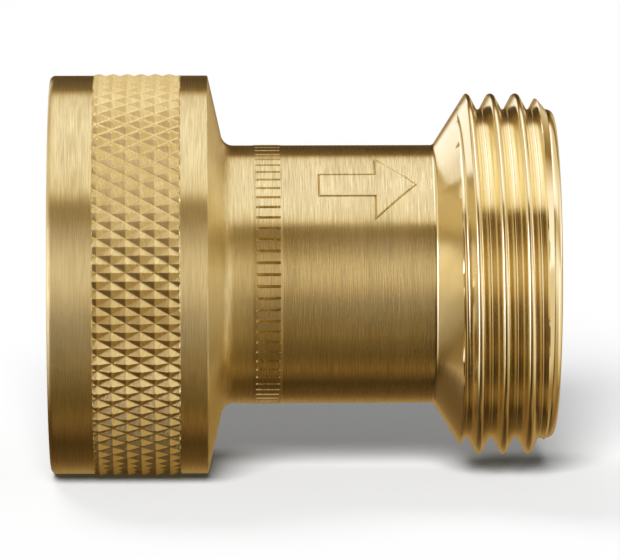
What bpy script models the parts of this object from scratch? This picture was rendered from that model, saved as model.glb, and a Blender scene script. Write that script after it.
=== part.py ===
"""In-line water pressure regulator for a 3/4 inch tap, as separate pieces.

A brass body holds a direct-acting regulator cartridge. Water enters the collar, passes the
strainer and the openings of the seat carrier, and goes through the gap between the seat disc
and the lip of the hollow stem. It leaves through the stem and the piston. Outlet pressure
pushes the piston back towards the inlet, against the spring, until the lip closes on the disc.

Frame: the origin is on the flow axis, in the plane of the inlet rim. +X is the direction of
flow and +Z is up. All sizes below are in millimetres; add_piece turns them into metres.
"""

import math

import bmesh
import bpy
from mathutils import Matrix

METRES_PER_MM = 0.001
WELD = 0.0005

# Driving dimensions: the 3/4 inch parallel pipe thread and the body turned around it.
THREAD_PITCH = 25.4 / 14.0
THREAD_MAJOR_R = 13.22
THREAD_MINOR_R = 12.06
BODY_LENGTH = 36.8
COLLAR_R = 14.58
COLLAR_LENGTH = 11.5
NECK_R = 9.45
NECK_START = 13.35
NECK_END = 27.97
BORE_R = 8.0
STROKE = 1.2

# Body, outside.
EDGE_ROUND = 0.35
KNURL_START = 3.2
KNURL_END = 9.5
KNURL_RISE = 0.1
GROOVED_BAND_START = 14.95
GROOVED_BAND_END = 16.85
GROOVED_BAND_RISE = 0.05
COLLAR_SLOPE = math.radians(75.0)
NECK_FILLET_R = 0.9
OUTLET_SLOPE = math.radians(57.7)
CREST_AT_TOP = 32.23
END_CHAMFER_START = 35.25
END_FACE_R = 11.8

# Body, inside.
RIM_CHAMFER = 1.6
SOCKET_MAJOR_R = 13.3
SOCKET_CREST_AT_TOP = 3.0
SOCKET_THREAD_END = 8.4
RELIEF_R = 13.45
LEDGE_X = 10.3
STRAINER_SEAT_R = 9.3
BORE_START = 11.2
SHOULDER_X = 34.0
OUTLET_BORE_R = 6.5
OUTLET_CHAMFER = 0.4
VENT_X = 24.6
VENT_R = 0.6

# Cartridge, from the inlet to the outlet.
FIT_GAP = 0.1
WASHER_R = 11.9
WASHER_HOLE_R = 8.4
WASHER_FACE_X = 7.9
STRAINER_HOLE_R = 7.0
STRAINER_TIP_X = 8.7
STRAINER_WALL = 0.3
RETAINER_START = 11.5
RETAINER_END = 12.9
RETAINER_HOLE_R = 5.6
SPANNER_NOTCH_WIDTH = 1.6
SPANNER_NOTCH_DEPTH = 0.8
CARRIER_START = 13.0
CARRIER_WEB_END = 14.6
CARRIER_END = 18.2
CARRIER_SKIRT_R = 6.9
CARRIER_HUB_R = 4.2
WATERWAY_IN_R = 4.6
WATERWAY_OUT_R = 6.6
WATERWAY_COUNT = 3
WATERWAY_SPAN = math.radians(84.0)
SEAT_FACE_X = 16.6
SEAT_DISC_R = 3.65
SEAT_DISC_THICKNESS = 1.35
SCREW_SHANK_R = 0.7
SCREW_HEAD_R = 1.25
SCREW_HEAD_HEIGHT = 0.6
GUIDE_START = 18.3
GUIDE_END = 21.3
STEM_R = 2.9
STEM_BORE_R = 2.2
STEM_END = 33.0
LIP_R = 2.5
O_RING_R = 0.6
GROOVE_HALF_WIDTH = 0.7
GROOVE_DEPTH = 1.3
SPRING_WASHER_START = 21.4
SPRING_WASHER_END = 21.9
SPRING_WIRE_R = 0.6
SPRING_MEAN_R = 5.8
SPRING_START = 22.0
SPRING_END = 30.3
SPRING_END_TURNS = 0.75
SPRING_OPEN_TURNS = 2.75
SPRING_END_PITCH = 1.3
HEAD_START = 30.4
HEAD_END = 33.9
HEAD_R = 7.85
HEAD_FLARE_R = 4.0
PISTON_RING_X = 31.7
WEAR_RING_START = 32.8
WEAR_RING_END = 33.5
WEAR_GROOVE_R = 7.0

# Facets around each kind of piece.
BODY_SEGMENTS = 48
PIECE_SEGMENTS = 32
SMALL_SEGMENTS = 24
O_RING_SECTION_POINTS = 8
SPRING_STEPS_PER_TURN = 18
SHARP_EDGE = math.radians(30.0)

BRASS = ("brass", (0.78, 0.60, 0.27), 0.3, 1.0)
STEEL = ("stainless_steel", (0.62, 0.62, 0.60), 0.3, 1.0)
SPRING_STEEL = ("spring_steel", (0.46, 0.46, 0.47), 0.35, 1.0)
RUBBER = ("black_rubber", (0.03, 0.03, 0.032), 0.65, 0.0)
ACETAL = ("white_acetal", (0.80, 0.79, 0.74), 0.45, 0.0)
PTFE = ("ptfe", (0.86, 0.86, 0.84), 0.55, 0.0)


def clear_scene():
    for old in list(bpy.data.objects):
        bpy.data.objects.remove(old, do_unlink=True)


def finish_material(finish):
    """The Principled material of one finish, made the first time that it is asked for."""
    name, colour, roughness, metallic = finish
    material = bpy.data.materials.get(name)
    if material:
        return material
    material = bpy.data.materials.new(name)
    material.use_nodes = True
    shader = material.node_tree.nodes["Principled BSDF"]
    shader.inputs["Base Color"].default_value = (*colour, 1.0)
    shader.inputs["Roughness"].default_value = roughness
    shader.inputs["Metallic"].default_value = metallic
    material.diffuse_color = (*colour, 1.0)
    return material


def add_piece(name, shape, finish, origin_x=0.0):
    """Makes an object from a bmesh in millimetres, with its origin on the axis at origin_x."""
    bmesh.ops.remove_doubles(shape, verts=shape.verts, dist=WELD)
    bmesh.ops.recalc_face_normals(shape, faces=shape.faces)
    mesh = bpy.data.meshes.new(name)
    shape.to_mesh(mesh)
    shape.free()
    to_metres = Matrix.Scale(METRES_PER_MM, 4)
    mesh.transform(to_metres @ Matrix.Translation((-origin_x, 0.0, 0.0)))
    mesh.shade_smooth()
    mesh.set_sharp_from_angle(angle=SHARP_EDGE)
    mesh.materials.append(finish_material(finish))
    piece = bpy.data.objects.new(name, mesh)
    piece.location = (origin_x * METRES_PER_MM, 0.0, 0.0)
    bpy.context.scene.collection.objects.link(piece)
    return piece


def around(x, radius, turn):
    """A point at a distance from the flow axis; turn runs from the top towards the front."""
    return (x, -radius * math.sin(turn), radius * math.cos(turn))


def arc(centre_x, centre_r, radius, start, end, steps):
    """Points of an arc in the (x, radius) plane, its angles counted from +X."""
    points = []
    for step in range(steps + 1):
        angle = start + (end - start) * step / steps
        points.append((centre_x + radius * math.cos(angle), centre_r + radius * math.sin(angle)))
    return points


def turned(outline, segments=PIECE_SEGMENTS):
    """Turns a closed (x, radius) outline about the flow axis; points at radius 0 close it."""
    shape = bmesh.new()
    points = [shape.verts.new((x, 0.0, radius)) for x, radius in outline]
    edges = []
    for first, second in zip(points, points[1:] + points[:1]):
        if first.co.z > 0.0 or second.co.z > 0.0:
            edges.append(shape.edges.new((first, second)))
    bmesh.ops.spin(
        shape,
        geom=points + edges,
        cent=(0.0, 0.0, 0.0),
        axis=(1.0, 0.0, 0.0),
        angle=math.tau,
        steps=segments,
    )
    return shape


def cut(piece, cutters):
    """Takes each cutter out of a piece; the cutters stay as hidden guides."""
    for cutter in cutters:
        cutter.hide_render = True
        cutter.display_type = "WIRE"
        boolean = piece.modifiers.new(cutter.name, "BOOLEAN")
        boolean.operation = "DIFFERENCE"
        boolean.solver = "EXACT"
        boolean.object = cutter


# Stations: each gives the (x, radius) of the body's surface at an angle around the axis.


def plain(x, radius):
    return lambda turn: (x, radius)


def threaded(start, end, crest_at_top, profile, limit):
    """Stations of a right-hand thread between two planes.

    profile lists (pitch fraction, radius) points of one pitch, counted from a crest. A station
    follows the helix, and waits at either plane while its turn of the helix is beyond it.
    limit(x, radius) gives the radius that run-outs and chamfers leave at x.
    """
    stations = []
    first = math.floor((start - crest_at_top) / THREAD_PITCH) - 1
    last = math.ceil((end - crest_at_top) / THREAD_PITCH) + 1

    def helical(offset, radius):
        def station(turn):
            x = offset + THREAD_PITCH * turn / math.tau
            x = min(max(x, start), end)
            return (x, limit(x, radius))

        return station

    for turn_number in range(first, last):
        for fraction, radius in profile:
            offset = crest_at_top + (turn_number + fraction) * THREAD_PITCH
            stations.append(helical(offset, radius))
    return stations


def body_outside():
    stations = [plain(0.0, COLLAR_R - EDGE_ROUND), plain(EDGE_ROUND, COLLAR_R)]
    stations.append(plain(KNURL_START, COLLAR_R))
    stations.append(plain(KNURL_START + KNURL_RISE, COLLAR_R + KNURL_RISE))
    stations.append(plain(KNURL_END - KNURL_RISE, COLLAR_R + KNURL_RISE))
    stations.append(plain(KNURL_END, COLLAR_R))
    stations.append(plain(COLLAR_LENGTH, COLLAR_R))

    # The collar's slope runs into the neck through a fillet that touches both.
    fillet_start = math.pi * 1.5 - COLLAR_SLOPE
    fillet = arc(
        NECK_START, NECK_R + NECK_FILLET_R, NECK_FILLET_R, fillet_start, math.pi * 1.5, 3
    )
    stations.extend(plain(x, radius) for x, radius in fillet)

    band_r = NECK_R + GROOVED_BAND_RISE
    stations.append(plain(GROOVED_BAND_START, NECK_R))
    stations.append(plain(GROOVED_BAND_START + GROOVED_BAND_RISE, band_r))
    stations.append(plain(GROOVED_BAND_END - GROOVED_BAND_RISE, band_r))
    stations.append(plain(GROOVED_BAND_END, NECK_R))
    stations.append(plain(NECK_END, NECK_R))

    cone_x = NECK_END + (THREAD_MINOR_R - NECK_R) / math.tan(OUTLET_SLOPE)
    end_slope = (THREAD_MAJOR_R - END_FACE_R) / (BODY_LENGTH - END_CHAMFER_START)

    def limit(x, radius):
        cone = THREAD_MINOR_R + (x - cone_x) * math.tan(OUTLET_SLOPE)
        chamfer = THREAD_MAJOR_R - (x - END_CHAMFER_START) * end_slope
        return min(radius, cone, chamfer)

    crest_half = 0.08
    root_half = 0.08
    profile = [
        (-crest_half, THREAD_MAJOR_R),
        (crest_half, THREAD_MAJOR_R),
        (0.5 - root_half, THREAD_MINOR_R),
        (0.5 + root_half, THREAD_MINOR_R),
    ]
    stations.extend(threaded(cone_x, BODY_LENGTH, CREST_AT_TOP, profile, limit))
    return stations


def body_inside():
    """From the outlet face back through the bore and the threaded socket to the rim."""
    stations = [
        plain(BODY_LENGTH, OUTLET_BORE_R + OUTLET_CHAMFER),
        plain(BODY_LENGTH - OUTLET_CHAMFER, OUTLET_BORE_R),
        plain(SHOULDER_X, OUTLET_BORE_R),
        plain(SHOULDER_X, BORE_R),
        plain(BORE_START, BORE_R),
        plain(BORE_START, STRAINER_SEAT_R),
        plain(LEDGE_X, STRAINER_SEAT_R),
        plain(LEDGE_X, RELIEF_R),
    ]

    def limit(x, radius):
        chamfer = THREAD_MINOR_R + RIM_CHAMFER - x
        run_out = RELIEF_R - (SOCKET_THREAD_END - x) * 2.0
        return max(radius, chamfer, run_out)

    flat_half = 0.08
    profile = [
        (-flat_half, THREAD_MINOR_R),
        (flat_half, THREAD_MINOR_R),
        (0.5 - flat_half, SOCKET_MAJOR_R),
        (0.5 + flat_half, SOCKET_MAJOR_R),
    ]
    socket = threaded(0.0, SOCKET_THREAD_END, SOCKET_CREST_AT_TOP, profile, limit)
    stations.extend(reversed(socket))
    return stations


def make_body():
    shape = bmesh.new()
    stations = body_outside() + body_inside()
    stations.append(stations[0])
    rings = []
    for station in stations:
        ring = []
        for segment in range(BODY_SEGMENTS + 1):
            turn = math.tau * segment / BODY_SEGMENTS
            ring.append(shape.verts.new(around(*station(turn), turn)))
        rings.append(ring)
    for near, far in zip(rings, rings[1:]):
        for segment in range(BODY_SEGMENTS):
            corners = (near[segment], near[segment + 1], far[segment + 1], far[segment])
            shape.faces.new(corners)
    body = add_piece("body", shape, BRASS)

    drill = bmesh.new()
    across = Matrix.Rotation(math.pi / 2.0, 4, "X")
    bmesh.ops.create_cone(
        drill,
        cap_ends=True,
        segments=12,
        radius1=VENT_R,
        radius2=VENT_R,
        depth=NECK_R - BORE_R + 2.0,
        matrix=Matrix.Translation((VENT_X, (NECK_R + BORE_R) / 2.0, 0.0)) @ across,
    )
    cut(body, [add_piece("vent_drill", drill, BRASS)])


def block(x_range, y_range, z_range):
    """A plain cutting block between given limits, in millimetres."""
    shape = bmesh.new()
    bmesh.ops.create_cube(shape, size=1.0)
    for vertex in shape.verts:
        limits = zip(vertex.co, (x_range, y_range, z_range))
        vertex.co = [low if side < 0.0 else high for side, (low, high) in limits]
    return shape


def waterway(turn):
    """A curved slot through the web of the seat carrier, centred on an angle."""
    shape = bmesh.new()
    steps = 6
    outline = []
    for step in range(steps + 1):
        angle = turn - WATERWAY_SPAN / 2.0 + WATERWAY_SPAN * step / steps
        outline.append(around(CARRIER_START - 1.0, WATERWAY_OUT_R, angle))
    for step in range(steps + 1):
        angle = turn + WATERWAY_SPAN / 2.0 - WATERWAY_SPAN * step / steps
        outline.append(around(CARRIER_START - 1.0, WATERWAY_IN_R, angle))
    face = shape.faces.new([shape.verts.new(point) for point in outline])
    swept = bmesh.ops.extrude_face_region(shape, geom=[face])
    moved = [item for item in swept["geom"] if isinstance(item, bmesh.types.BMVert)]
    depth = CARRIER_WEB_END - CARRIER_START + 2.0
    bmesh.ops.translate(shape, vec=(depth, 0.0, 0.0), verts=moved)
    return shape


def o_ring(name, centre_x, centre_r):
    outline = arc(centre_x, centre_r, O_RING_R, 0.0, math.tau, O_RING_SECTION_POINTS)[:-1]
    return add_piece(name, turned(outline, SMALL_SEGMENTS), RUBBER, centre_x)


def make_inlet_washer():
    outline = [
        (WASHER_FACE_X, WASHER_HOLE_R),
        (WASHER_FACE_X, WASHER_R),
        (LEDGE_X - FIT_GAP, WASHER_R),
        (LEDGE_X - FIT_GAP, WASHER_HOLE_R),
    ]
    add_piece("inlet_washer", turned(outline), RUBBER)


def make_strainer():
    rim = [
        (LEDGE_X, STRAINER_HOLE_R),
        (LEDGE_X, STRAINER_SEAT_R - FIT_GAP),
        (BORE_START - FIT_GAP, STRAINER_SEAT_R - FIT_GAP),
        (BORE_START - FIT_GAP, STRAINER_HOLE_R),
    ]
    add_piece("strainer_rim", turned(rim), STEEL)

    # The screen is a spherical cap that stands from the rim towards the inlet.
    base_x = (LEDGE_X + BORE_START) / 2.0
    base_r = STRAINER_HOLE_R - FIT_GAP
    height = base_x - STRAINER_TIP_X
    dome_r = (base_r**2 + height**2) / (2.0 * height)
    centre_x = STRAINER_TIP_X + dome_r
    spread = math.asin(base_r / dome_r)
    outside = arc(centre_x, 0.0, dome_r, math.pi - spread, math.pi, 5)
    inside = arc(centre_x, 0.0, dome_r - STRAINER_WALL, math.pi, math.pi - spread, 5)
    outside[-1] = (outside[-1][0], 0.0)
    inside[0] = (inside[0][0], 0.0)
    add_piece("strainer_mesh", turned(outside + inside), STEEL)


def make_retaining_ring():
    outer_r = BORE_R - FIT_GAP
    outline = [
        (RETAINER_START, RETAINER_HOLE_R),
        (RETAINER_START, outer_r),
        (RETAINER_END, outer_r),
        (RETAINER_END, RETAINER_HOLE_R),
    ]
    ring = add_piece("retaining_ring", turned(outline), BRASS)
    half = SPANNER_NOTCH_WIDTH / 2.0
    depth = (RETAINER_START - 1.0, RETAINER_START + SPANNER_NOTCH_DEPTH)
    across = (-BORE_R - 1.0, BORE_R + 1.0)
    notch = add_piece("spanner_notch", block(depth, (-half, half), across), BRASS)
    cut(ring, [notch])


def make_seat_carrier():
    outer_r = BORE_R - FIT_GAP
    recess_r = SEAT_DISC_R + FIT_GAP
    recess_x = SEAT_FACE_X - SEAT_DISC_THICKNESS - FIT_GAP / 2.0
    screw_hole_r = SCREW_SHANK_R + FIT_GAP
    outline = [
        (CARRIER_START, screw_hole_r),
        (CARRIER_START, outer_r),
        (CARRIER_END, outer_r),
        (CARRIER_END, CARRIER_SKIRT_R),
        (CARRIER_WEB_END, CARRIER_SKIRT_R),
        (CARRIER_WEB_END, CARRIER_HUB_R),
        (SEAT_FACE_X, CARRIER_HUB_R),
        (SEAT_FACE_X, recess_r),
        (recess_x, recess_r),
        (recess_x, screw_hole_r),
    ]
    carrier = add_piece("seat_carrier", turned(outline), ACETAL)
    slots = []
    for number in range(WATERWAY_COUNT):
        slot = waterway(math.tau * number / WATERWAY_COUNT)
        slots.append(add_piece(f"waterway_{number + 1}", slot, ACETAL))
    cut(carrier, slots)


def make_seat():
    back_x = SEAT_FACE_X - SEAT_DISC_THICKNESS
    hole_r = SCREW_SHANK_R + FIT_GAP
    disc = [
        (back_x, hole_r),
        (back_x, SEAT_DISC_R),
        (SEAT_FACE_X, SEAT_DISC_R),
        (SEAT_FACE_X, hole_r),
    ]
    add_piece("seat_disc", turned(disc, SMALL_SEGMENTS), RUBBER)

    under_head = SEAT_FACE_X + FIT_GAP / 2.0
    top = under_head + SCREW_HEAD_HEIGHT
    screw = [
        (CARRIER_START + 2.0 * FIT_GAP, 0.0),
        (CARRIER_START + 2.0 * FIT_GAP, SCREW_SHANK_R),
        (under_head, SCREW_SHANK_R),
        (under_head, SCREW_HEAD_R),
        (top - FIT_GAP, SCREW_HEAD_R),
        (top, SCREW_HEAD_R - FIT_GAP),
        (top, 0.0),
    ]
    add_piece("seat_screw", turned(screw, SMALL_SEGMENTS), STEEL)


def make_stem_guide():
    outer_r = BORE_R - FIT_GAP
    bore_r = STEM_R + FIT_GAP
    middle = (GUIDE_START + GUIDE_END) / 2.0
    groove_start = middle - GROOVE_HALF_WIDTH
    groove_end = middle + GROOVE_HALF_WIDTH
    outline = [
        (GUIDE_START, bore_r),
        (GUIDE_START, outer_r),
        (groove_start, outer_r),
        (groove_start, outer_r - GROOVE_DEPTH),
        (groove_end, outer_r - GROOVE_DEPTH),
        (groove_end, outer_r),
        (GUIDE_END, outer_r),
        (GUIDE_END, bore_r),
        (groove_end, bore_r),
        (groove_end, bore_r + GROOVE_DEPTH),
        (groove_start, bore_r + GROOVE_DEPTH),
        (groove_start, bore_r),
    ]
    add_piece("stem_guide", turned(outline), ACETAL)
    o_ring("guide_o_ring", middle, outer_r - O_RING_R)
    o_ring("stem_o_ring", middle, STEM_R + FIT_GAP / 2.0 + O_RING_R)


def make_spring():
    outline = [
        (SPRING_WASHER_START, STEM_R + 4.0 * FIT_GAP),
        (SPRING_WASHER_START, BORE_R - 4.0 * FIT_GAP),
        (SPRING_WASHER_END, BORE_R - 4.0 * FIT_GAP),
        (SPRING_WASHER_END, STEM_R + 4.0 * FIT_GAP),
    ]
    add_piece("spring_washer", turned(outline), STEEL)

    # The end turns are closed, and the open turns between them share what is left.
    first_x = SPRING_START + SPRING_WIRE_R
    last_x = SPRING_END - SPRING_WIRE_R
    closed = SPRING_END_TURNS * SPRING_END_PITCH
    open_pitch = (last_x - first_x - 2.0 * closed) / SPRING_OPEN_TURNS
    turns = SPRING_OPEN_TURNS + 2.0 * SPRING_END_TURNS
    steps = round(turns * SPRING_STEPS_PER_TURN)

    curve = bpy.data.curves.new("spring", "CURVE")
    curve.dimensions = "3D"
    curve.bevel_depth = SPRING_WIRE_R * METRES_PER_MM
    curve.bevel_resolution = 2
    curve.use_fill_caps = True
    wire = curve.splines.new("POLY")
    wire.points.add(steps)
    for step, point in enumerate(wire.points):
        done = turns * step / steps
        if done < SPRING_END_TURNS:
            x = first_x + done * SPRING_END_PITCH
        elif done < SPRING_END_TURNS + SPRING_OPEN_TURNS:
            x = first_x + closed + (done - SPRING_END_TURNS) * open_pitch
        else:
            x = last_x - (turns - done) * SPRING_END_PITCH
        place = around(x, SPRING_MEAN_R, done * math.tau)
        point.co = (*(METRES_PER_MM * value for value in place), 1.0)
    curve.materials.append(finish_material(SPRING_STEEL))
    spring = bpy.data.objects.new("spring", curve)
    bpy.context.scene.collection.objects.link(spring)


def make_piston():
    """The moving assembly; an empty on the joint's axis carries its pieces."""
    carriage = bpy.data.objects.new("piston_carriage", None)
    carriage.location = (HEAD_END * METRES_PER_MM, 0.0, 0.0)
    bpy.context.scene.collection.objects.link(carriage)

    lip_x = SEAT_FACE_X + STROKE + FIT_GAP / 2.0
    stem = [
        (lip_x, STEM_BORE_R),
        (lip_x, LIP_R),
        (lip_x + STEM_R - LIP_R, STEM_R),
        (STEM_END, STEM_R),
        (STEM_END, STEM_BORE_R),
    ]
    pieces = [add_piece("piston_stem", turned(stem, SMALL_SEGMENTS), STEEL, HEAD_END)]

    ring_start = PISTON_RING_X - GROOVE_HALF_WIDTH
    ring_end = PISTON_RING_X + GROOVE_HALF_WIDTH
    groove_r = HEAD_R - GROOVE_DEPTH
    socket_r = STEM_R + FIT_GAP / 2.0
    head = [
        (HEAD_START, socket_r),
        (HEAD_START, HEAD_R),
        (ring_start, HEAD_R),
        (ring_start, groove_r),
        (ring_end, groove_r),
        (ring_end, HEAD_R),
        (WEAR_RING_START, HEAD_R),
        (WEAR_RING_START, WEAR_GROOVE_R),
        (WEAR_RING_END, WEAR_GROOVE_R),
        (WEAR_RING_END, HEAD_R),
        (HEAD_END, HEAD_R),
        (HEAD_END, HEAD_FLARE_R),
        (STEM_END + FIT_GAP, STEM_BORE_R),
        (STEM_END + FIT_GAP, socket_r),
    ]
    pieces.append(add_piece("piston_head", turned(head), BRASS, HEAD_END))
    pieces.append(o_ring("piston_o_ring", PISTON_RING_X, HEAD_R - O_RING_R))

    wear = [
        (WEAR_RING_START + FIT_GAP, WEAR_GROOVE_R + FIT_GAP / 2.0),
        (WEAR_RING_START + FIT_GAP, BORE_R - FIT_GAP),
        (WEAR_RING_END - FIT_GAP, BORE_R - FIT_GAP),
        (WEAR_RING_END - FIT_GAP, WEAR_GROOVE_R + FIT_GAP / 2.0),
    ]
    pieces.append(add_piece("piston_wear_ring", turned(wear), PTFE, HEAD_END))
    for piece in pieces:
        piece.parent = carriage
        piece.location -= carriage.location


def main():
    clear_scene()
    make_body()
    make_inlet_washer()
    make_strainer()
    make_retaining_ring()
    make_seat_carrier()
    make_seat()
    make_stem_guide()
    make_spring()
    make_piston()


main()
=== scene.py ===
"""Looks of an in-line brass water pressure regulator, built around its packed frame.

The body is one closed mesh: a knurled sleeve, a grooved band, an engraved neck and two threaded
sleeves, joined by turned stretches. The cartridge inside it is made piece by piece, each in the
room that its frame node takes. +X is the direction of flow, and every size is in metres.
"""

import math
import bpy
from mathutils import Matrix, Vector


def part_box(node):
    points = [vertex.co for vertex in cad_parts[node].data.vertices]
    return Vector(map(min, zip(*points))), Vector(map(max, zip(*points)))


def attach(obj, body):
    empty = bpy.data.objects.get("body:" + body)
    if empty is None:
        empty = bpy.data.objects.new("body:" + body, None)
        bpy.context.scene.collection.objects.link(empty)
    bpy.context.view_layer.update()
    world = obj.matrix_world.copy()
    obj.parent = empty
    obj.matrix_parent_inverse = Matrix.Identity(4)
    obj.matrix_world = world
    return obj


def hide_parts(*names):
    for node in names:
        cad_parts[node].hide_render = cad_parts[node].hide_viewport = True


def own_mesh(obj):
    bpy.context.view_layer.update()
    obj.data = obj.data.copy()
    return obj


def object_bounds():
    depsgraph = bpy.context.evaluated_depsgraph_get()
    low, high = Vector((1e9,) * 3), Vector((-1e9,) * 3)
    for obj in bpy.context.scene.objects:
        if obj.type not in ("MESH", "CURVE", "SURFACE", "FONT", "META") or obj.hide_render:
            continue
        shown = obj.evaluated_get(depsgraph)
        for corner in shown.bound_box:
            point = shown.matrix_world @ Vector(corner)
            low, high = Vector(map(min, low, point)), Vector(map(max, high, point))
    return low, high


bl_info = {
    "name": "Water pressure regulator",
    "version": (1, 0, 0),
    "blender": (4, 5, 0),
    "location": "3D View > Sidebar > Regulator",
    "description": "Builds an in-line water pressure regulator, its finishes and its studio",
    "category": "Add Mesh",
}

import bmesh
import bpy
from bpy.props import FloatProperty, FloatVectorProperty, IntProperty, PointerProperty
from mathutils import Matrix, Vector
from mathutils.geometry import delaunay_2d_cdt

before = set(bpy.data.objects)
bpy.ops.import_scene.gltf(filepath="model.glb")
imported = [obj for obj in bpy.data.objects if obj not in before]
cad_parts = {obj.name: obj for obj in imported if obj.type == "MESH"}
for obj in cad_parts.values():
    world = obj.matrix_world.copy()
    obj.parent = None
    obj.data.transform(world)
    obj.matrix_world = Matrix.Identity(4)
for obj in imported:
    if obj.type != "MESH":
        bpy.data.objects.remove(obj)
cad_low, cad_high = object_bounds()

MM = 0.001
WELD = 1.0e-6
SHARP_EDGE = math.radians(28.0)

BODY_LOW, BODY_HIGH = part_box("body")
RIM_LOW, RIM_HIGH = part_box("strainer_rim")


# ---------------------------------------------------------------------------------------------
# Sizes and colours that a user would change
# ---------------------------------------------------------------------------------------------


def length(name, description, default):
    return FloatProperty(
        name=name, description=description, default=default, min=0.0, unit="LENGTH", precision=5
    )


def colour(name, description, default):
    return FloatVectorProperty(
        name=name,
        description=description,
        default=default,
        size=3,
        subtype="COLOR",
        min=0.0,
        max=1.0,
    )


def tally(name, description, default, least):
    return IntProperty(name=name, description=description, default=default, min=least)


def share(name, description, default):
    return FloatProperty(
        name=name, description=description, default=default, min=0.0, max=1.0, subtype="FACTOR"
    )


def angle(name, description, degrees):
    return FloatProperty(
        name=name, description=description, default=math.radians(degrees), subtype="ANGLE"
    )


class RegulatorBodySizes(bpy.types.PropertyGroup):
    """The turned outline of the brass body."""

    collar_radius: length("Collar radius", "Outside of the plain bands of the collar", 14.58 * MM)
    collar_length: length("Collar length", "From the inlet rim to the collar's corner", 11.5 * MM)
    edge_round: length("Edge round", "Rounding of the inlet rim's outer edge", 0.38 * MM)
    collar_slope: angle("Collar slope", "Angle of the collar's back face to the axis", 75.0)
    neck_radius: length("Neck radius", "Outside of the neck", 9.45 * MM)
    neck_start: length("Neck start", "Where the fillet meets the neck", 13.35 * MM)
    neck_fillet: length("Neck fillet", "Radius of the fillet at the collar", 0.9 * MM)
    neck_end: length("Neck end", "Where the outlet's cone starts", 27.97 * MM)
    cone_slope: angle("Cone slope", "Angle of the outlet's cone to the axis", 57.7)
    cone_fillet: length("Cone fillet", "Radius of the fillet at the cone's foot", 0.35 * MM)
    outlet_bore: length("Outlet bore", "Radius of the hole in the outlet face", 6.5 * MM)
    bore: length("Bore", "Radius of the cartridge bore", 8.0 * MM)
    shoulder: length("Shoulder", "Where the piston stops at the outlet", 34.0 * MM)
    ledge: length("Ledge", "Where the inlet washer is seated", 10.3 * MM)
    strainer_seat: length("Strainer seat", "Radius of the recess for the strainer", 9.3 * MM)
    relief: length("Relief", "Radius of the groove behind the socket's thread", 13.45 * MM)
    vent_place: length("Vent place", "Distance of the vent hole from the inlet rim", 24.6 * MM)
    vent_radius: length("Vent radius", "Radius of the vent hole", 0.6 * MM)


class RegulatorThreadSizes(bpy.types.PropertyGroup):
    """The 3/4 inch parallel pipe thread, outside and inside."""

    pitch: length("Pitch", "Advance of one turn", 25.4 / 14.0 * MM)
    crest: length("Crest radius", "Outside radius of the outlet thread", 13.22 * MM)
    root: length("Root radius", "Radius at the bottom of the outlet thread", 12.06 * MM)
    socket_root: length("Socket root", "Radius at the bottom of the socket's thread", 13.3 * MM)
    crest_place: length("Crest place", "Where a crest passes the top of the outlet", 32.23 * MM)
    thread_end: length("Thread end", "Where the outlet's chamfer meets its plain tip", 36.2 * MM)
    chamfer: angle("Chamfer", "Angle of the outlet's chamfer to the axis", 50.0)
    face_edge: length("Face edge", "Outside radius of the outlet's end face", 11.5 * MM)
    socket_place: length("Socket place", "Where a ridge passes the top of the socket", 3.0 * MM)
    socket_end: length("Socket end", "Depth of the socket's thread", 8.4 * MM)
    socket_chamfer: length("Socket chamfer", "Width of the chamfer in the inlet's mouth", 1.6 * MM)


class RegulatorKnurlSizes(bpy.types.PropertyGroup):
    """The diamond knurl round the collar, and the straight grooves round the neck."""

    cells: tally("Cells", "Diamonds round the collar", 75, 3)
    start: length("Knurl start", "Edge of the knurl towards the inlet", 3.28 * MM)
    end: length("Knurl end", "Edge of the knurl towards the neck", 9.42 * MM)
    first_peak: length("First peak", "Place of a column of peaks", 2.53 * MM)
    half_cell: length("Half cell", "Half the length of a diamond along the axis", 1.03 * MM)
    peak_radius: length("Peak radius", "Outside radius over the peaks", 14.68 * MM)
    depth: length("Knurl depth", "Height of a diamond", 0.3 * MM)
    grooves: tally("Grooves", "Grooves round the neck", 70, 3)
    band_start: length("Band start", "Edge of the grooved band towards the inlet", 14.8 * MM)
    band_end: length("Band end", "Edge of the grooved band towards the outlet", 16.85 * MM)
    band_rise: length("Band rise", "Height of the grooved band", 0.03 * MM)
    band_edge: length("Band edge", "Width of the step at either edge of the band", 0.14 * MM)
    groove_depth: length("Groove depth", "Depth of a groove", 0.24 * MM)


class RegulatorArrowSizes(bpy.types.PropertyGroup):
    """The flow arrow that is engraved in the neck."""

    tail: length("Tail", "Place of the arrow's tail", 19.49 * MM)
    head: length("Head", "Place of the back of the arrow's head", 23.56 * MM)
    tip: length("Tip", "Place of the arrow's tip", 26.53 * MM)
    shaft_half: length("Shaft half width", "Half the width of the shaft round the neck", 1.07 * MM)
    head_half: length("Head half width", "Half the width of the head round the neck", 3.0 * MM)
    turn: angle("Turn", "Angle of the arrow from the top of the neck towards the front", 39.0)
    line_width: length("Line width", "Width of the engraved line", 0.17 * MM)
    line_depth: length("Line depth", "Depth of the engraved line", 0.13 * MM)


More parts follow.
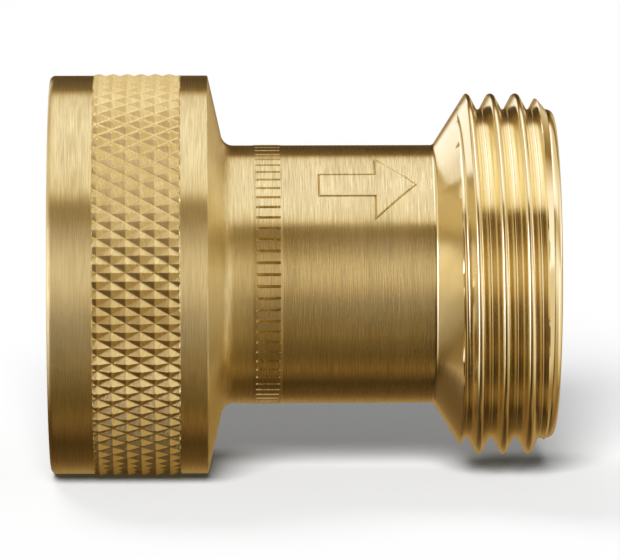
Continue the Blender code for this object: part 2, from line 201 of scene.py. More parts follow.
class RegulatorCartridgeSizes(bpy.types.PropertyGroup):
    """The cartridge that sits in the bore."""

    clearance: length("Clearance", "Gap between pieces that fit together", 0.1 * MM)
    washer_hole: length("Washer hole", "Radius of the hole in the inlet washer", 8.4 * MM)
    strainer_hole: length("Strainer hole", "Radius of the opening that the screen fills", 7.0 * MM)
    screen_spacing: length("Screen spacing", "Distance between the screen's wires", 0.5 * MM)
    screen_wire: length("Screen wire", "Radius of the screen's wires", 0.1 * MM)
    retainer_hole: length("Retainer hole", "Radius of the hole in the retaining ring", 5.6 * MM)
    notch_width: length("Notch width", "Width of the ring's spanner notches", 1.6 * MM)
    notch_depth: length("Notch depth", "Depth of the ring's spanner notches", 0.8 * MM)
    web_end: length("Web end", "Where the carrier's web ends", 14.6 * MM)
    carrier_skirt: length("Carrier skirt", "Inside radius of the carrier's skirt", 6.9 * MM)
    carrier_hub: length("Carrier hub", "Outside radius of the carrier's cup", 4.2 * MM)
    waterways: tally("Waterways", "Openings through the web", 3, 1)
    waterway_inner: length("Waterway inner", "Inside radius of a waterway", 4.6 * MM)
    waterway_outer: length("Waterway outer", "Outside radius of a waterway", 6.6 * MM)
    waterway_spread: angle("Waterway spread", "Angle that a waterway takes up", 84.0)
    screw_shank: length("Screw shank", "Radius of the seat screw's shank", 0.7 * MM)
    groove_width: length("Groove width", "Width of an O-ring groove", 1.4 * MM)
    groove_depth: length("Groove depth", "Depth of an O-ring groove", 1.3 * MM)
    spring_mean: length("Spring radius", "Mean radius of the spring", 5.8 * MM)
    spring_wire: length("Spring wire", "Thickness of the spring's wire", 1.2 * MM)
    stem_bore: length("Stem bore", "Radius of the hole through the stem", 2.2 * MM)
    stem_lip: length("Stem lip", "Outside radius of the stem's lip", 2.5 * MM)
    head_radius: length("Head radius", "Outside radius of the piston's head", 7.85 * MM)
    wear_groove: length("Wear groove", "Radius at the bottom of the wear ring's groove", 7.0 * MM)
    flare: length("Flare", "Radius of the head's flare at its face", 4.0 * MM)


class RegulatorFinishes(bpy.types.PropertyGroup):
    """Colours and roughness of the materials."""

    brass: colour("Brass", "Colour of turned brass", (0.9, 0.785, 0.45))
    brass_dark: colour("Brass streaks", "Colour of the darker turning lines", (0.77, 0.63, 0.32))
    # The neck's colour is darker than the collar's brass: painted shade that the collar and the
    # outlet throw on the neck.
    neck: colour("Neck brass", "Colour of the neck, which is duller", (0.9, 0.76, 0.42))
    polished: colour("Polished brass", "Colour of the cones and threads", (0.925, 0.835, 0.59))
    steel: colour("Steel", "Colour of stainless steel", (0.62, 0.61, 0.59))
    spring: colour("Spring", "Colour of spring wire", (0.47, 0.465, 0.46))
    rubber: colour("Rubber", "Colour of the rubber seals", (0.022, 0.022, 0.024))
    acetal: colour("Acetal", "Colour of the plastic pieces", (0.77, 0.755, 0.7))
    ptfe: colour("PTFE", "Colour of the wear ring", (0.84, 0.84, 0.82))
    turned_roughness: share("Turned roughness", "Roughness of turned brass", 0.27)
    polished_roughness: share("Polished roughness", "Roughness of the cones and threads", 0.1)


class RegulatorStageSizes(bpy.types.PropertyGroup):
    """The camera, the floor and the lights."""

    camera_distance: length("Camera distance", "From the lens to the regulator", 0.4)
    camera_elevation: angle("Camera elevation", "Height of the camera above level", 8.0)
    camera_azimuth: angle("Camera azimuth", "Turn of the camera round the regulator", -1.2)
    frame_width: length("Frame width", "Width of what the camera sees at the axis", 45.5 * MM)
    aim_along: length("Aim along", "Place along the axis that is in the middle", 18.98 * MM)
    aim_below: length("Aim below", "How far the middle is below the axis", 0.44 * MM)
    ambient: share("Ambient", "Light that the room gives to the floor from all sides", 0.12)
    room_strength: share("Room strength", "Brightness of the room in the brass", 0.83)
    backdrop: FloatProperty(
        name="Backdrop", description="Brightness of the room to the camera", default=1.05, min=0.0
    )


SETTINGS = (
    ("regulator_body", RegulatorBodySizes),
    ("regulator_thread", RegulatorThreadSizes),
    ("regulator_knurl", RegulatorKnurlSizes),
    ("regulator_arrow", RegulatorArrowSizes),
    ("regulator_cartridge", RegulatorCartridgeSizes),
    ("regulator_finishes", RegulatorFinishes),
    ("regulator_stage", RegulatorStageSizes),
)


# ---------------------------------------------------------------------------------------------
# Formulas in node trees
# ---------------------------------------------------------------------------------------------


class Field:
    """A value in a node tree. Arithmetic on it adds Math nodes, so a formula reads as one."""

    def __init__(self, tree, socket):
        self.tree = tree
        self.socket = socket

    def step(self, operation, *others):
        node = self.tree.nodes.new("ShaderNodeMath")
        node.operation = operation
        for socket, value in zip(node.inputs, (self, *others)):
            plug(self.tree, value, socket)
        return Field(self.tree, node.outputs[0])

    def __add__(self, other):
        return self.step("ADD", other)

    def __sub__(self, other):
        return self.step("SUBTRACT", other)

    def __mul__(self, other):
        return self.step("MULTIPLY", other)

    def __truediv__(self, other):
        return self.step("DIVIDE", other)

    def __pow__(self, other):
        return self.step("POWER", other)

    def __neg__(self):
        return self.step("MULTIPLY", -1.0)

    __radd__ = __add__
    __rmul__ = __mul__

    def __rsub__(self, other):
        return -self + other

    def __abs__(self):
        return self.step("ABSOLUTE")

    def at_least(self, other):
        return self.step("MAXIMUM", other)

    def at_most(self, other):
        return self.step("MINIMUM", other)

    def between(self, low, high):
        return self.at_least(low).at_most(high)

    def floor(self):
        return self.step("FLOOR")

    def fraction(self):
        return self.step("FRACT")

    def sine(self):
        return self.step("SINE")

    def cosine(self):
        return self.step("COSINE")

    def sign(self):
        return self.step("SIGN")

    def root(self):
        return self.step("SQRT")


def plug(tree, value, socket):
    """Links a field or a socket to an input, or sets the input to a plain value."""
    if isinstance(value, Field):
        tree.links.new(value.socket, socket)
    elif isinstance(value, bpy.types.NodeSocket):
        tree.links.new(value, socket)
    else:
        socket.default_value = value


def add_node(tree, kind, settings=None, **inputs):
    """A node with its settings and its inputs, which are named with _ for each space."""
    node = tree.nodes.new(kind)
    for name, value in (settings or {}).items():
        setattr(node, name, value)
    for name, value in inputs.items():
        plug(tree, value, node.inputs[name.replace("_", " ")])
    return node


def new_tree(name, sizes, counts=()):
    """A Geometry Nodes tree with named inputs; returns it and its inputs as fields."""
    tree = bpy.data.node_groups.new(name, "GeometryNodeTree")
    tree.interface.new_socket("Geometry", in_out="OUTPUT", socket_type="NodeSocketGeometry")
    for size in sizes:
        socket = tree.interface.new_socket(size, in_out="INPUT", socket_type="NodeSocketFloat")
        socket.subtype = "DISTANCE"
    for count in counts:
        tree.interface.new_socket(count, in_out="INPUT", socket_type="NodeSocketInt")
    tree.interface.new_socket("Material", in_out="INPUT", socket_type="NodeSocketMaterial")
    given = tree.nodes.new("NodeGroupInput")
    fields = {name: Field(tree, given.outputs[name]) for name in (*sizes, *counts)}
    fields["Material"] = given.outputs["Material"]
    return tree, fields


def end_tree(tree, geometry, material):
    """Closes a tree with Realize Instances and Set Material."""
    real = add_node(tree, "GeometryNodeRealizeInstances", Geometry=geometry)
    painted = add_node(
        tree, "GeometryNodeSetMaterial", Geometry=real.outputs[0], Material=material
    )
    result = tree.nodes.new("NodeGroupOutput")
    tree.links.new(painted.outputs[0], result.inputs[0])
    return tree


def place_of(tree):
    """The x, y and z fields of the point that is worked on."""
    position = tree.nodes.new("GeometryNodeInputPosition")
    split = add_node(tree, "ShaderNodeSeparateXYZ", Vector=position.outputs[0])
    return [Field(tree, output) for output in split.outputs]


def move_points(tree, geometry, x, y, z):
    joined = add_node(tree, "ShaderNodeCombineXYZ", X=x, Y=y, Z=z)
    moved = add_node(
        tree, "GeometryNodeSetPosition", Geometry=geometry, Position=joined.outputs[0]
    )
    return moved.outputs[0]


def wrap(tree, geometry, x, radius, turn):
    """Moves points onto a surface round the axis; turn runs from the top to the front."""
    return move_points(tree, geometry, x, -radius * turn.sine(), radius * turn.cosine())


def weld(tree, geometry):
    joined = add_node(tree, "GeometryNodeMergeByDistance", Geometry=geometry, Distance=WELD)
    return joined.outputs[0]


def grow(tree, values):
    """Runs a Geometry Nodes tree with the given inputs, and returns the plain mesh."""
    carrier = bpy.data.objects.new(tree.name, bpy.data.meshes.new(tree.name))
    bpy.context.scene.collection.objects.link(carrier)
    modifier = carrier.modifiers.new(tree.name, "NODES")
    modifier.node_group = tree
    for item in tree.interface.items_tree:
        if item.in_out == "INPUT":
            modifier[item.identifier] = values[item.name]
    bpy.context.view_layer.update()
    evaluated = carrier.evaluated_get(bpy.context.evaluated_depsgraph_get())
    mesh = bpy.data.meshes.new_from_object(evaluated)
    bpy.data.objects.remove(carrier)
    return mesh


# ---------------------------------------------------------------------------------------------
# Geometry Nodes trees of what repeats
# ---------------------------------------------------------------------------------------------

# Shares of a diamond: where its blunt peak ends, where its groove starts, its groove's height.
KNURL_PEAK = 0.12
KNURL_GROOVE = 0.88
KNURL_FLOOR = 0.07
# Half the share of its pitch that a groove of the neck's band takes up.
GROOVE_SHARE = 0.11
# Steps along a wire, and sides round it.
SCREEN_STEPS, SCREEN_SIDES = 72, 6
COIL_STEPS, COIL_SIDES = 300, 16


def knurl_tree():
    """A sleeve of diamonds: one four-sided cell, repeated on two staggered lattices."""
    sizes = ("Half Cell", "First Peak", "Peak Radius", "Depth")
    tree, given = new_tree("knurled_sleeve", sizes, ("Cells", "Columns"))
    half_length = given["Half Cell"]
    half_width = given["Peak Radius"] * math.pi / given["Cells"]

    cell = add_node(
        tree,
        "GeometryNodeMeshCone",
        {"fill_type": "NONE"},
        Vertices=4,
        Side_Segments=3,
        Radius_Top=0.0,
        Radius_Bottom=1.0,
        Depth=1.0,
    )
    # The cone has two rings inside its edge. One moves to the peak and one to the groove.
    x, y, z = place_of(tree)
    from_peak = abs(x) + abs(y)
    past_first = (from_peak - 1.0 / 3.0).between(0.0, 1.0 / 3.0)
    steeper = 3.0 * (KNURL_GROOVE - 2.0 * KNURL_PEAK)
    moved = from_peak * (3.0 * KNURL_PEAK) + past_first * steeper
    spread = moved / from_peak.at_least(0.01)
    height = ((1.0 - moved) / 0.9).between(KNURL_FLOOR, 1.0) * given["Depth"]
    shaped = move_points(
        tree, cell.outputs[0], x * spread * half_length, y * spread * half_width, height
    )

    across = (given["Columns"] - 1.0) * half_length * 2.0
    around = (given["Cells"] - 1.0) * half_width * 2.0
    lattice = add_node(
        tree,
        "GeometryNodeMeshGrid",
        Size_X=across,
        Size_Y=around,
        Vertices_X=given["Columns"],
        Vertices_Y=given["Cells"],
    )
    points = tree.nodes.new("GeometryNodeJoinGeometry")
    for stagger in (0.0, 1.0):
        x, y, z = place_of(tree)
        placed = move_points(
            tree,
            lattice.outputs[0],
            x + across / 2.0 + given["First Peak"] + half_length * stagger,
            y + around / 2.0 + half_width * stagger,
            z,
        )
        tree.links.new(placed, points.inputs[0])
    cells = add_node(
        tree, "GeometryNodeInstanceOnPoints", Points=points.outputs[0], Instance=shaped
    )
    real = add_node(tree, "GeometryNodeRealizeInstances", Geometry=cells.outputs[0])
    x, y, z = place_of(tree)
    turn = y / half_width * math.pi / given["Cells"]
    radius = given["Peak Radius"] - given["Depth"] + z
    sleeve = weld(tree, wrap(tree, real.outputs[0], x, radius, turn))
    return end_tree(tree, sleeve, given["Material"])


def unit_grid(tree, columns, rows):
    """A grid with x and y from 0 to 1, and its two fields."""
    grid = add_node(
        tree,
        "GeometryNodeMeshGrid",
        Size_X=1.0,
        Size_Y=1.0,
        Vertices_X=columns,
        Vertices_Y=rows,
    )
    x, y, z = place_of(tree)
    return grid.outputs[0], x + 0.5, y + 0.5


def grooved_band_tree():
    """A raised band with straight grooves along the axis."""
    sizes = ("Start", "End", "Radius", "Rise", "Depth", "Edge")
    tree, given = new_tree("grooved_band", sizes, ("Grooves", "Rows", "Steps"))
    grid, along, around = unit_grid(
        tree, given["Rows"], given["Grooves"] * given["Steps"] + 1.0
    )
    # Rows crowd together at the two edges, where the band steps up.
    eased = (1.0 - (along * math.pi).cosine()) / 2.0
    span = given["End"] - given["Start"]
    x = given["Start"] + span * eased
    from_edge = (eased.at_most(1.0 - eased)) * span
    rise = (from_edge / given["Edge"]).at_most(1.0) * given["Rise"]
    run_in = (from_edge / given["Edge"] - 1.0).between(0.0, 1.0)
    # Columns crowd together in each groove.
    number = around * given["Grooves"] + 0.5
    phase = number.fraction() - 0.5
    crowded = phase * abs(phase) * 2.0
    trough = (1.0 - (crowded / GROOVE_SHARE) ** 2.0).at_least(0.0)
    radius = given["Radius"] + rise - trough * run_in * given["Depth"]
    turn = (number.floor() + crowded) / given["Grooves"] * math.tau
    band = weld(tree, wrap(tree, grid, x, radius, turn))
    return end_tree(tree, band, given["Material"])


# The parallel pipe thread's form, in pitches.
ARC_RADIUS = 0.1373
FLANK_SLOPE = 1.0 / math.tan(math.radians(27.5))
ARC_REACH = ARC_RADIUS * math.cos(math.radians(27.5))


def thread_tree(name, inside):
    """A sleeve with a right-hand thread. Each column of the grid follows the helix, and waits
    at either end while its turn of the helix is beyond it."""
    sizes = ("Start", "End", "Crest Place", "Pitch", "Crest", "Root", "Start Limit", "End Limit")
    sizes += ("Start Slope", "End Slope")
    tree, given = new_tree(name, sizes, ("Steps", "Segments"))
    turns = (given["End"] - given["Start"]) / given["Pitch"]
    whole = turns.floor() + 3.0
    grid, along, around = unit_grid(
        tree, whole * given["Steps"] + 1.0, given["Segments"] + 1.0
    )
    pitches = along * whole - 1.0 + around
    free_x = given["Start"] + pitches * given["Pitch"]
    x = free_x.between(given["Start"], given["End"])

    # In pitches: straight flanks at 55 degrees to each other, and an arc at crest and root.
    turn_share = (given["Crest Place"] - given["Start"]) / given["Pitch"]
    phase = (along * whole - 1.0 - turn_share).fraction()
    to_crest = abs(phase - 0.5) - 0.25
    from_peak = 0.25 - abs(to_crest)
    in_arc = from_peak.at_most(ARC_REACH)
    fall = ARC_RADIUS - (ARC_RADIUS**2 - in_arc * in_arc).root()
    fall = fall + (from_peak - ARC_REACH).at_least(0.0) * FLANK_SLOPE
    middle = (given["Crest"] + given["Root"]) / 2.0
    half_depth = (given["Crest"] - given["Root"]) / 2.0
    radius = middle + to_crest.sign() * (half_depth - fall * given["Pitch"])
    start_limit = given["Start Limit"] + (x - given["Start"]) * given["Start Slope"]
    end_limit = given["End Limit"] + (given["End"] - x) * given["End Slope"]
    if inside:
        radius = radius.at_least(start_limit).at_least(end_limit)
    else:
        radius = radius.at_most(start_limit).at_most(end_limit)
    sleeve = weld(tree, wrap(tree, grid, x, radius, around * math.tau))
    return end_tree(tree, sleeve, given["Material"])


def tube(tree, curve, radius, sides):
    """A round wire along a curve, with its ends closed."""
    section = add_node(
        tree, "GeometryNodeCurvePrimitiveCircle", Resolution=sides, Radius=radius
    )
    wire = add_node(
        tree,
        "GeometryNodeCurveToMesh",
        Curve=curve,
        Profile_Curve=section.outputs[0],
        Fill_Caps=True,
    )
    return wire.outputs[0]


def screen_tree():
    """A plain weave of wires over a dome, laid in two directions."""
    sizes = ("Base", "Tip", "Radius", "Spacing", "Wire Radius")
    tree, given = new_tree("woven_screen", sizes, ("Wires",))
    height = given["Base"] - given["Tip"]
    dome = (given["Radius"] * given["Radius"] + height * height) / (height * 2.0)
    wires = tree.nodes.new("GeometryNodeJoinGeometry")
    for direction in (0, 1):
        row = add_node(
            tree,
            "GeometryNodeMeshLine",
            Count=given["Wires"],
            Start_Location=(0.0, 0.0, 0.0),
            Offset=(1.0, 0.0, 0.0),
        )
        line = add_node(
            tree,
            "GeometryNodeCurvePrimitiveLine",
            Start=(0.0, -1.0, 0.0),
            End=(0.0, 1.0, 0.0),
        )
        fine = add_node(
            tree, "GeometryNodeResampleCurve", Curve=line.outputs[0], Count=SCREEN_STEPS
        )
        laid = add_node(
            tree, "GeometryNodeInstanceOnPoints", Points=row.outputs[0], Instance=fine.outputs[0]
        )
        real = add_node(tree, "GeometryNodeRealizeInstances", Geometry=laid.outputs[0])
        number, along, unused = place_of(tree)
        aside = (number - (given["Wires"] - 1.0) / 2.0) * given["Spacing"]
        half = (given["Radius"] * given["Radius"] - aside * aside).at_least(0.0).root()
        run = along * half
        out = (run * run + aside * aside).root()
        drop = dome - (dome * dome - out * out).root()
        weave = (run / given["Spacing"] * math.pi).cosine() * (number * math.pi).cosine()
        side = 1.0 if direction == 0 else -1.0
        x = given["Tip"] + drop + weave * given["Wire Radius"] * side
        if direction == 0:
            placed = move_points(tree, real.outputs[0], x, aside, run)
        else:
            placed = move_points(tree, real.outputs[0], x, run, aside)
        wire = tube(tree, placed, given["Wire Radius"], SCREEN_SIDES)
        tree.links.new(wire, wires.inputs[0])
    return end_tree(tree, wires.outputs[0], given["Material"])


def spring_tree():
    """A compression spring with closed and ground ends."""
    sizes = ("Start", "End", "Mean Radius", "Wire Radius", "End Turns", "Open Turns", "End Pitch")
    tree, given = new_tree("compression_spring", sizes)
    turns = given["Open Turns"] + given["End Turns"] * 2.0
    line = add_node(
        tree, "GeometryNodeCurvePrimitiveLine", Start=(0.0, 0.0, 0.0), End=(1.0, 0.0, 0.0)
    )
    fine = add_node(tree, "GeometryNodeResampleCurve", Curve=line.outputs[0], Count=COIL_STEPS)
    share_done, unused_y, unused_z = place_of(tree)
    done = share_done * turns
    first = given["Start"] + given["Wire Radius"]
    last = given["End"] - given["Wire Radius"]
    closed = given["End Turns"] * given["End Pitch"]
    open_pitch = (last - first - closed * 2.0) / given["Open Turns"]
    near = done.at_most(given["End Turns"])
    middle = (done - given["End Turns"]).between(0.0, given["Open Turns"])
    far = (done - given["End Turns"] - given["Open Turns"]).at_least(0.0)
    x = first + (near + far) * given["End Pitch"] + middle * open_pitch
    coil = wrap(tree, fine.outputs[0], x, given["Mean Radius"], done * math.tau)
    wire = tube(tree, coil, given["Wire Radius"], COIL_SIDES)
    x, y, z = place_of(tree)
    ground = given["Wire Radius"] * 0.35
    flat_x = x.between(given["Start"] + ground, given["End"] - ground)
    return end_tree(tree, move_points(tree, wire, flat_x, y, z), given["Material"])


# ---------------------------------------------------------------------------------------------
# Materials
# ---------------------------------------------------------------------------------------------


class Finish:
    """A Principled material under construction, with the fields that its pattern reads."""

    def __init__(self, name):
        self.material = bpy.data.materials.new(name)
        self.material.use_nodes = True
        self.tree = self.material.node_tree
        self.shader = self.tree.nodes["Principled BSDF"]
        place = add_node(self.tree, "ShaderNodeTexCoord")
        split = add_node(self.tree, "ShaderNodeSeparateXYZ", Vector=place.outputs["Object"])
        self.place = place.outputs["Object"]
        self.x, self.y, self.z = (Field(self.tree, output) for output in split.outputs)
        self.radius = (self.y * self.y + self.z * self.z).root()

    def noise(self, vector, scale, detail, roughness=0.5):
        texture = add_node(
            self.tree,
            "ShaderNodeTexNoise",
            Vector=vector,
            Scale=scale,
            Detail=detail,
            Roughness=roughness,
        )
        return Field(self.tree, texture.outputs["Fac"])

    def turning(self, fineness, drag):
        """A vector for noise that is drawn out round the axis, as a lathe tool leaves it."""
        joined = add_node(
            self.tree,
            "ShaderNodeCombineXYZ",
            X=(self.x + self.radius * 0.83) * fineness,
            Y=self.y * drag,
            Z=self.z * drag,
        )
        return joined.outputs[0]

    def set(self, name, value):
        plug(self.tree, value, self.shader.inputs[name])

    def mix(self, factor, first, second):
        """A colour between two colours."""
        node = add_node(self.tree, "ShaderNodeMix", {"data_type": "RGBA"})
        plug(self.tree, factor, node.inputs[0])
        for socket, value in ((node.inputs[6], first), (node.inputs[7], second)):
            plug(self.tree, (*value, 1.0), socket)
        return node.outputs[2]

    def bump(self, height, distance, strength=1.0):
        node = add_node(
            self.tree,
            "ShaderNodeBump",
            Strength=strength,
            Distance=distance,
            Height=height,
        )
        plug(self.tree, node.outputs[0], self.shader.inputs["Normal"])


def contrast(field, low, high):
    """Stretches a field so that low becomes 0 and high becomes 1."""
    return ((field - low) / (high - low)).between(0.0, 1.0)


def turned_brass(name, tint, streak, roughness, line_strength, stretch):
    """Brass off the lathe: lines round the axis, in colour, roughness and relief.

    The lines are too fine to model, so they also stretch what the brass mirrors along the axis.
    """
    finish = Finish(name)
    along_line = add_node(finish.tree, "ShaderNodeCombineXYZ", Y=-finish.z, Z=finish.y)
    finish.set("Tangent", along_line.outputs[0])
    finish.set("Anisotropic", stretch)
    finish.set("Anisotropic Rotation", 0.25)
    lines = finish.noise(finish.turning(16000.0, 450.0), 1.0, 3.0, 0.65)
    bands = finish.noise(finish.turning(1700.0, 60.0), 1.0, 2.0, 0.5)
    smudge = finish.noise(finish.place, 210.0, 3.0, 0.55)
    line_share = contrast(lines, 0.38, 0.66) * 0.8 + contrast(bands, 0.3, 0.72) * 0.2
    dark = (line_share * line_strength + contrast(smudge, 0.5, 0.85) * 0.12).between(0.0, 1.0)
    finish.set("Base Color", finish.mix(dark, tint, streak))
    finish.set("Metallic", 1.0)
    finish.set(
        "Roughness",
        contrast(lines, 0.3, 0.75) * 0.1 + contrast(smudge, 0.4, 0.8) * 0.07 + roughness,
    )
    finish.bump(lines * 2.0 + bands * 0.3, 5.0e-6, line_strength)
    return finish.material


def plain_metal(name, tint, shade, roughness, fineness):
    """Satin steel or brass of the cartridge."""
    finish = Finish(name)
    lines = finish.noise(finish.turning(fineness, 30.0), 1.0, 3.0, 0.6)
    cloud = finish.noise(finish.place, 420.0, 3.0)
    dark = contrast(lines, 0.35, 0.75) * 0.55 + contrast(cloud, 0.45, 0.8) * 0.3
    finish.set("Base Color", finish.mix(dark, tint, shade))
    finish.set("Metallic", 1.0)
    finish.set("Roughness", contrast(cloud, 0.3, 0.8) * 0.12 + roughness)
    finish.bump(lines + cloud * 0.4, 5.0e-6, 0.5)
    return finish.material


def moulded(name, tint, roughness, grain, grain_depth, bloom):
    """Rubber or plastic, with a fine moulded grain and a paler bloom in patches."""
    finish = Finish(name)
    fine = finish.noise(finish.place, grain, 4.0, 0.6)
    cloud = finish.noise(finish.place, grain / 9.0, 3.0, 0.55)
    pale = tuple(min(1.0, part + bloom) for part in tint)
    finish.set("Base Color", finish.mix(contrast(cloud, 0.4, 0.75), tint, pale))
    finish.set("Roughness", contrast(fine, 0.3, 0.7) * 0.14 + roughness)
    finish.bump(fine, grain_depth, 0.5)
    return finish.material


def darker(tint, amount):
    return tuple(part * amount for part in tint)


def finish_of(name):
    """A finish by its name; regulator.finishes makes them all."""
    material = bpy.data.materials.get(name)
    if material is None:
        raise RuntimeError(f"the finish {name} isn't there; run regulator.finishes first")
    return material


class REGULATOR_OT_finishes(bpy.types.Operator):
    """Makes the finishes: brass, steel, spring wire, rubber, acetal and PTFE"""

    bl_idname = "regulator.finishes"
    bl_label = "Finishes"

    def execute(self, context):
        tints = context.scene.regulator_finishes
        brass, steel, wire = tuple(tints.brass), tuple(tints.steel), tuple(tints.spring)
        streak, neck, polished = tuple(tints.brass_dark), tuple(tints.neck), tuple(tints.polished)
        rough, smooth = tints.turned_roughness, tints.polished_roughness
        turned_brass("turned_brass", brass, darker(streak, 0.88), rough, 1.0, 1.0)
        # The neck's brass and its lines are darker than the collar's: painted shade that the collar
        # and the outlet throw on the neck.
        turned_brass("neck_brass_painted_shade", neck, darker(neck, 0.6), 0.85 * rough, 0.9, 1.0)
        turned_brass("polished_brass", polished, brass, smooth, 0.3, 0.3)
        turned_brass("knurled_brass", brass, streak, rough, 1.6, 0.0)
        plain_metal("cartridge_brass", brass, darker(brass, 0.72), 0.3, 5200.0)
        plain_metal("satin_steel", steel, darker(steel, 0.7), 0.28, 5200.0)
        plain_metal("drawn_wire", wire, darker(wire, 0.6), 0.3, 900.0)
        moulded("seal_rubber", tuple(tints.rubber), 0.55, 5200.0, 9.0e-6, 0.022)
        moulded("white_acetal", tuple(tints.acetal), 0.38, 3800.0, 5.0e-6, 0.05)
        moulded("waxy_ptfe", tuple(tints.ptfe), 0.5, 2600.0, 6.0e-6, 0.04)
        return {"FINISHED"}


# ---------------------------------------------------------------------------------------------
# Mesh work
# ---------------------------------------------------------------------------------------------


def around(x, radius, turn):
    """A point round the flow axis; turn runs from the top towards the front."""
    return Vector((x, -radius * math.sin(turn), radius * math.cos(turn)))


def turn_of(vertex):
    """The turn of a vertex, where one that is exactly at the top always comes first."""
    return (math.atan2(-vertex.co.y, vertex.co.z) + 1.0e-6) % math.tau


def arc(centre_x, centre_r, radius, start, end, steps):
    """Points of an arc in the (x, radius) plane, its angles counted from +X."""
    points = []
    for step in range(steps + 1):
        turn = start + (end - start) * step / steps
        points.append((centre_x + radius * math.cos(turn), centre_r + radius * math.sin(turn)))
    return points


def rounded(outline, radius, loop, steps=4):
    """Rounds the corners of an (x, radius) outline, as far as its sides have room."""
    points = [Vector(point) for point in outline]
    smooth = []
    for index, corner in enumerate(points):
        if not loop and index in (0, len(points) - 1):
            smooth.append(corner)
            continue
        before = points[index - 1] - corner
        after = points[(index + 1) % len(points)] - corner
        reach = min(radius, before.length * 0.45, after.length * 0.45)
        start = corner + before.normalized() * reach
        end = corner + after.normalized() * reach
        for step in range(steps + 1):
            done = step / steps
            left = 1.0 - done
            smooth.append(start * left**2 + corner * 2.0 * done * left + end * done**2)
    return [tuple(point) for point in smooth]


def ring(shape, x, radius, count):
    """The vertices of one circle round the axis."""
    return [shape.verts.new(around(x, radius, math.tau * step / count)) for step in range(count)]


def bridge(shape, first, second, finish):
    """Joins two rings of any count with faces, walking round both by angle."""
    count_a, count_b = len(first), len(second)
    faces = []
    if count_a == count_b:
        for step in range(count_a):
            after = (step + 1) % count_a
            faces.append((first[step], first[after], second[after], second[step]))
    else:
        turns_a = [turn_of(vertex) for vertex in first] + [turn_of(first[0]) + math.tau]
        turns_b = [turn_of(vertex) for vertex in second] + [turn_of(second[0]) + math.tau]
        a, b = 0, 0
        while a < count_a or b < count_b:
            here = (first[a % count_a], second[b % count_b])
            if b == count_b or (a < count_a and turns_a[a + 1] <= turns_b[b + 1]):
                a += 1
                faces.append((here[0], first[a % count_a], here[1]))
            else:
                b += 1
                faces.append((here[0], second[b % count_b], here[1]))
    for corners in faces:
        shape.faces.new(corners).material_index = finish


def turned_stretch(shape, outline, count, finish):
    """A turned stretch of surface; returns its first and its last ring."""
    rings = [ring(shape, x, radius, count) for x, radius in outline]
    for first, second in zip(rings, rings[1:]):
        bridge(shape, first, second, finish)
    return rings[0], rings[-1]


def take_in(shape, mesh, finish, ends):
    """Adds an open sleeve to the shape; returns its two boundary rings, at the places in ends."""
    before = set(shape.verts)
    shape.from_mesh(mesh)
    bpy.data.meshes.remove(mesh)
    new = [vertex for vertex in shape.verts if vertex not in before]
    for vertex in new:
        for face in vertex.link_faces:
            face.material_index = finish
    rings = []
    for place in ends:
        edge = [v for v in new if v.is_boundary and abs(v.co.x - place) < 2.0 * WELD]
        rings.append(sorted(edge, key=turn_of))
    return rings


def closed(shape, name):
    """Points all faces outwards, and stops if the surface has a gap."""
    bmesh.ops.remove_doubles(shape, verts=shape.verts, dist=WELD / 4.0)
    bmesh.ops.dissolve_degenerate(shape, edges=shape.edges, dist=WELD / 4.0)
    bmesh.ops.recalc_face_normals(shape, faces=shape.faces)
    loose = [edge for edge in shape.edges if not edge.is_manifold]
    if loose:
        place = loose[0].verts[0].co
        raise RuntimeError(f"{name} has {len(loose)} open edges, the first near {place}")
    return shape


def to_object(name, shape, *finishes):
    """Makes an object from a bmesh, smooth but for its sharp edges."""
    mesh = bpy.data.meshes.new(name)
    shape.to_mesh(mesh)
    shape.free()
    for finish in finishes:
        mesh.materials.append(finish_of(finish))
    return mesh_object(name, mesh)


def mesh_object(name, mesh):
    mesh.shade_smooth()
    mesh.set_sharp_from_angle(angle=SHARP_EDGE)
    made = bpy.data.objects.new(name, mesh)
    bpy.context.scene.collection.objects.link(made)
    return made


def turned(name, outline, finish, count=128, edge=0.06 * MM):
    """A closed turned piece; an outline that starts and ends on the axis is closed there."""
    solid = outline[0][1] == 0.0
    points = rounded(outline, edge, loop=not solid) if edge else list(outline)
    shape = bmesh.new()
    if solid:
        first, last = turned_stretch(shape, points[1:-1], count, 0)
        for place, rim in ((points[0][0], first), (points[-1][0], last)):
            pole = shape.verts.new((place, 0.0, 0.0))
            for step in range(count):
                shape.faces.new((rim[step], rim[(step + 1) % count], pole))
    else:
        turned_stretch(shape, points + points[:1], count, 0)
    return to_object(name, closed(shape, name), finish)


def block(low, high):
    """A plain block, to cut with."""
    shape = bmesh.new()
    middle = [(a + b) / 2.0 for a, b in zip(low, high)]
    size = [b - a for a, b in zip(low, high)]
    where = Matrix.Translation(middle) @ Matrix.Diagonal((*size, 1.0))
    bmesh.ops.create_cube(shape, size=1.0, matrix=where)
    return to_object("cutter", shape)


def sector(start, end, inner, outer, centre, spread):
    """A curved block round the axis, between two radii and over a spread of turn, to cut with."""
    shape = bmesh.new()
    steps = 16
    sections = []
    for step in range(steps + 1):
        turn = centre + spread * (step / steps - 0.5)
        corners = ((start, inner), (start, outer), (end, outer), (end, inner))
        sections.append([shape.verts.new(around(x, radius, turn)) for x, radius in corners])
    for first, second in zip(sections, sections[1:]):
        bridge(shape, first, second, 0)
    shape.faces.new(sections[0])
    shape.faces.new(sections[-1])
    bmesh.ops.recalc_face_normals(shape, faces=shape.faces)
    return to_object("cutter", shape)


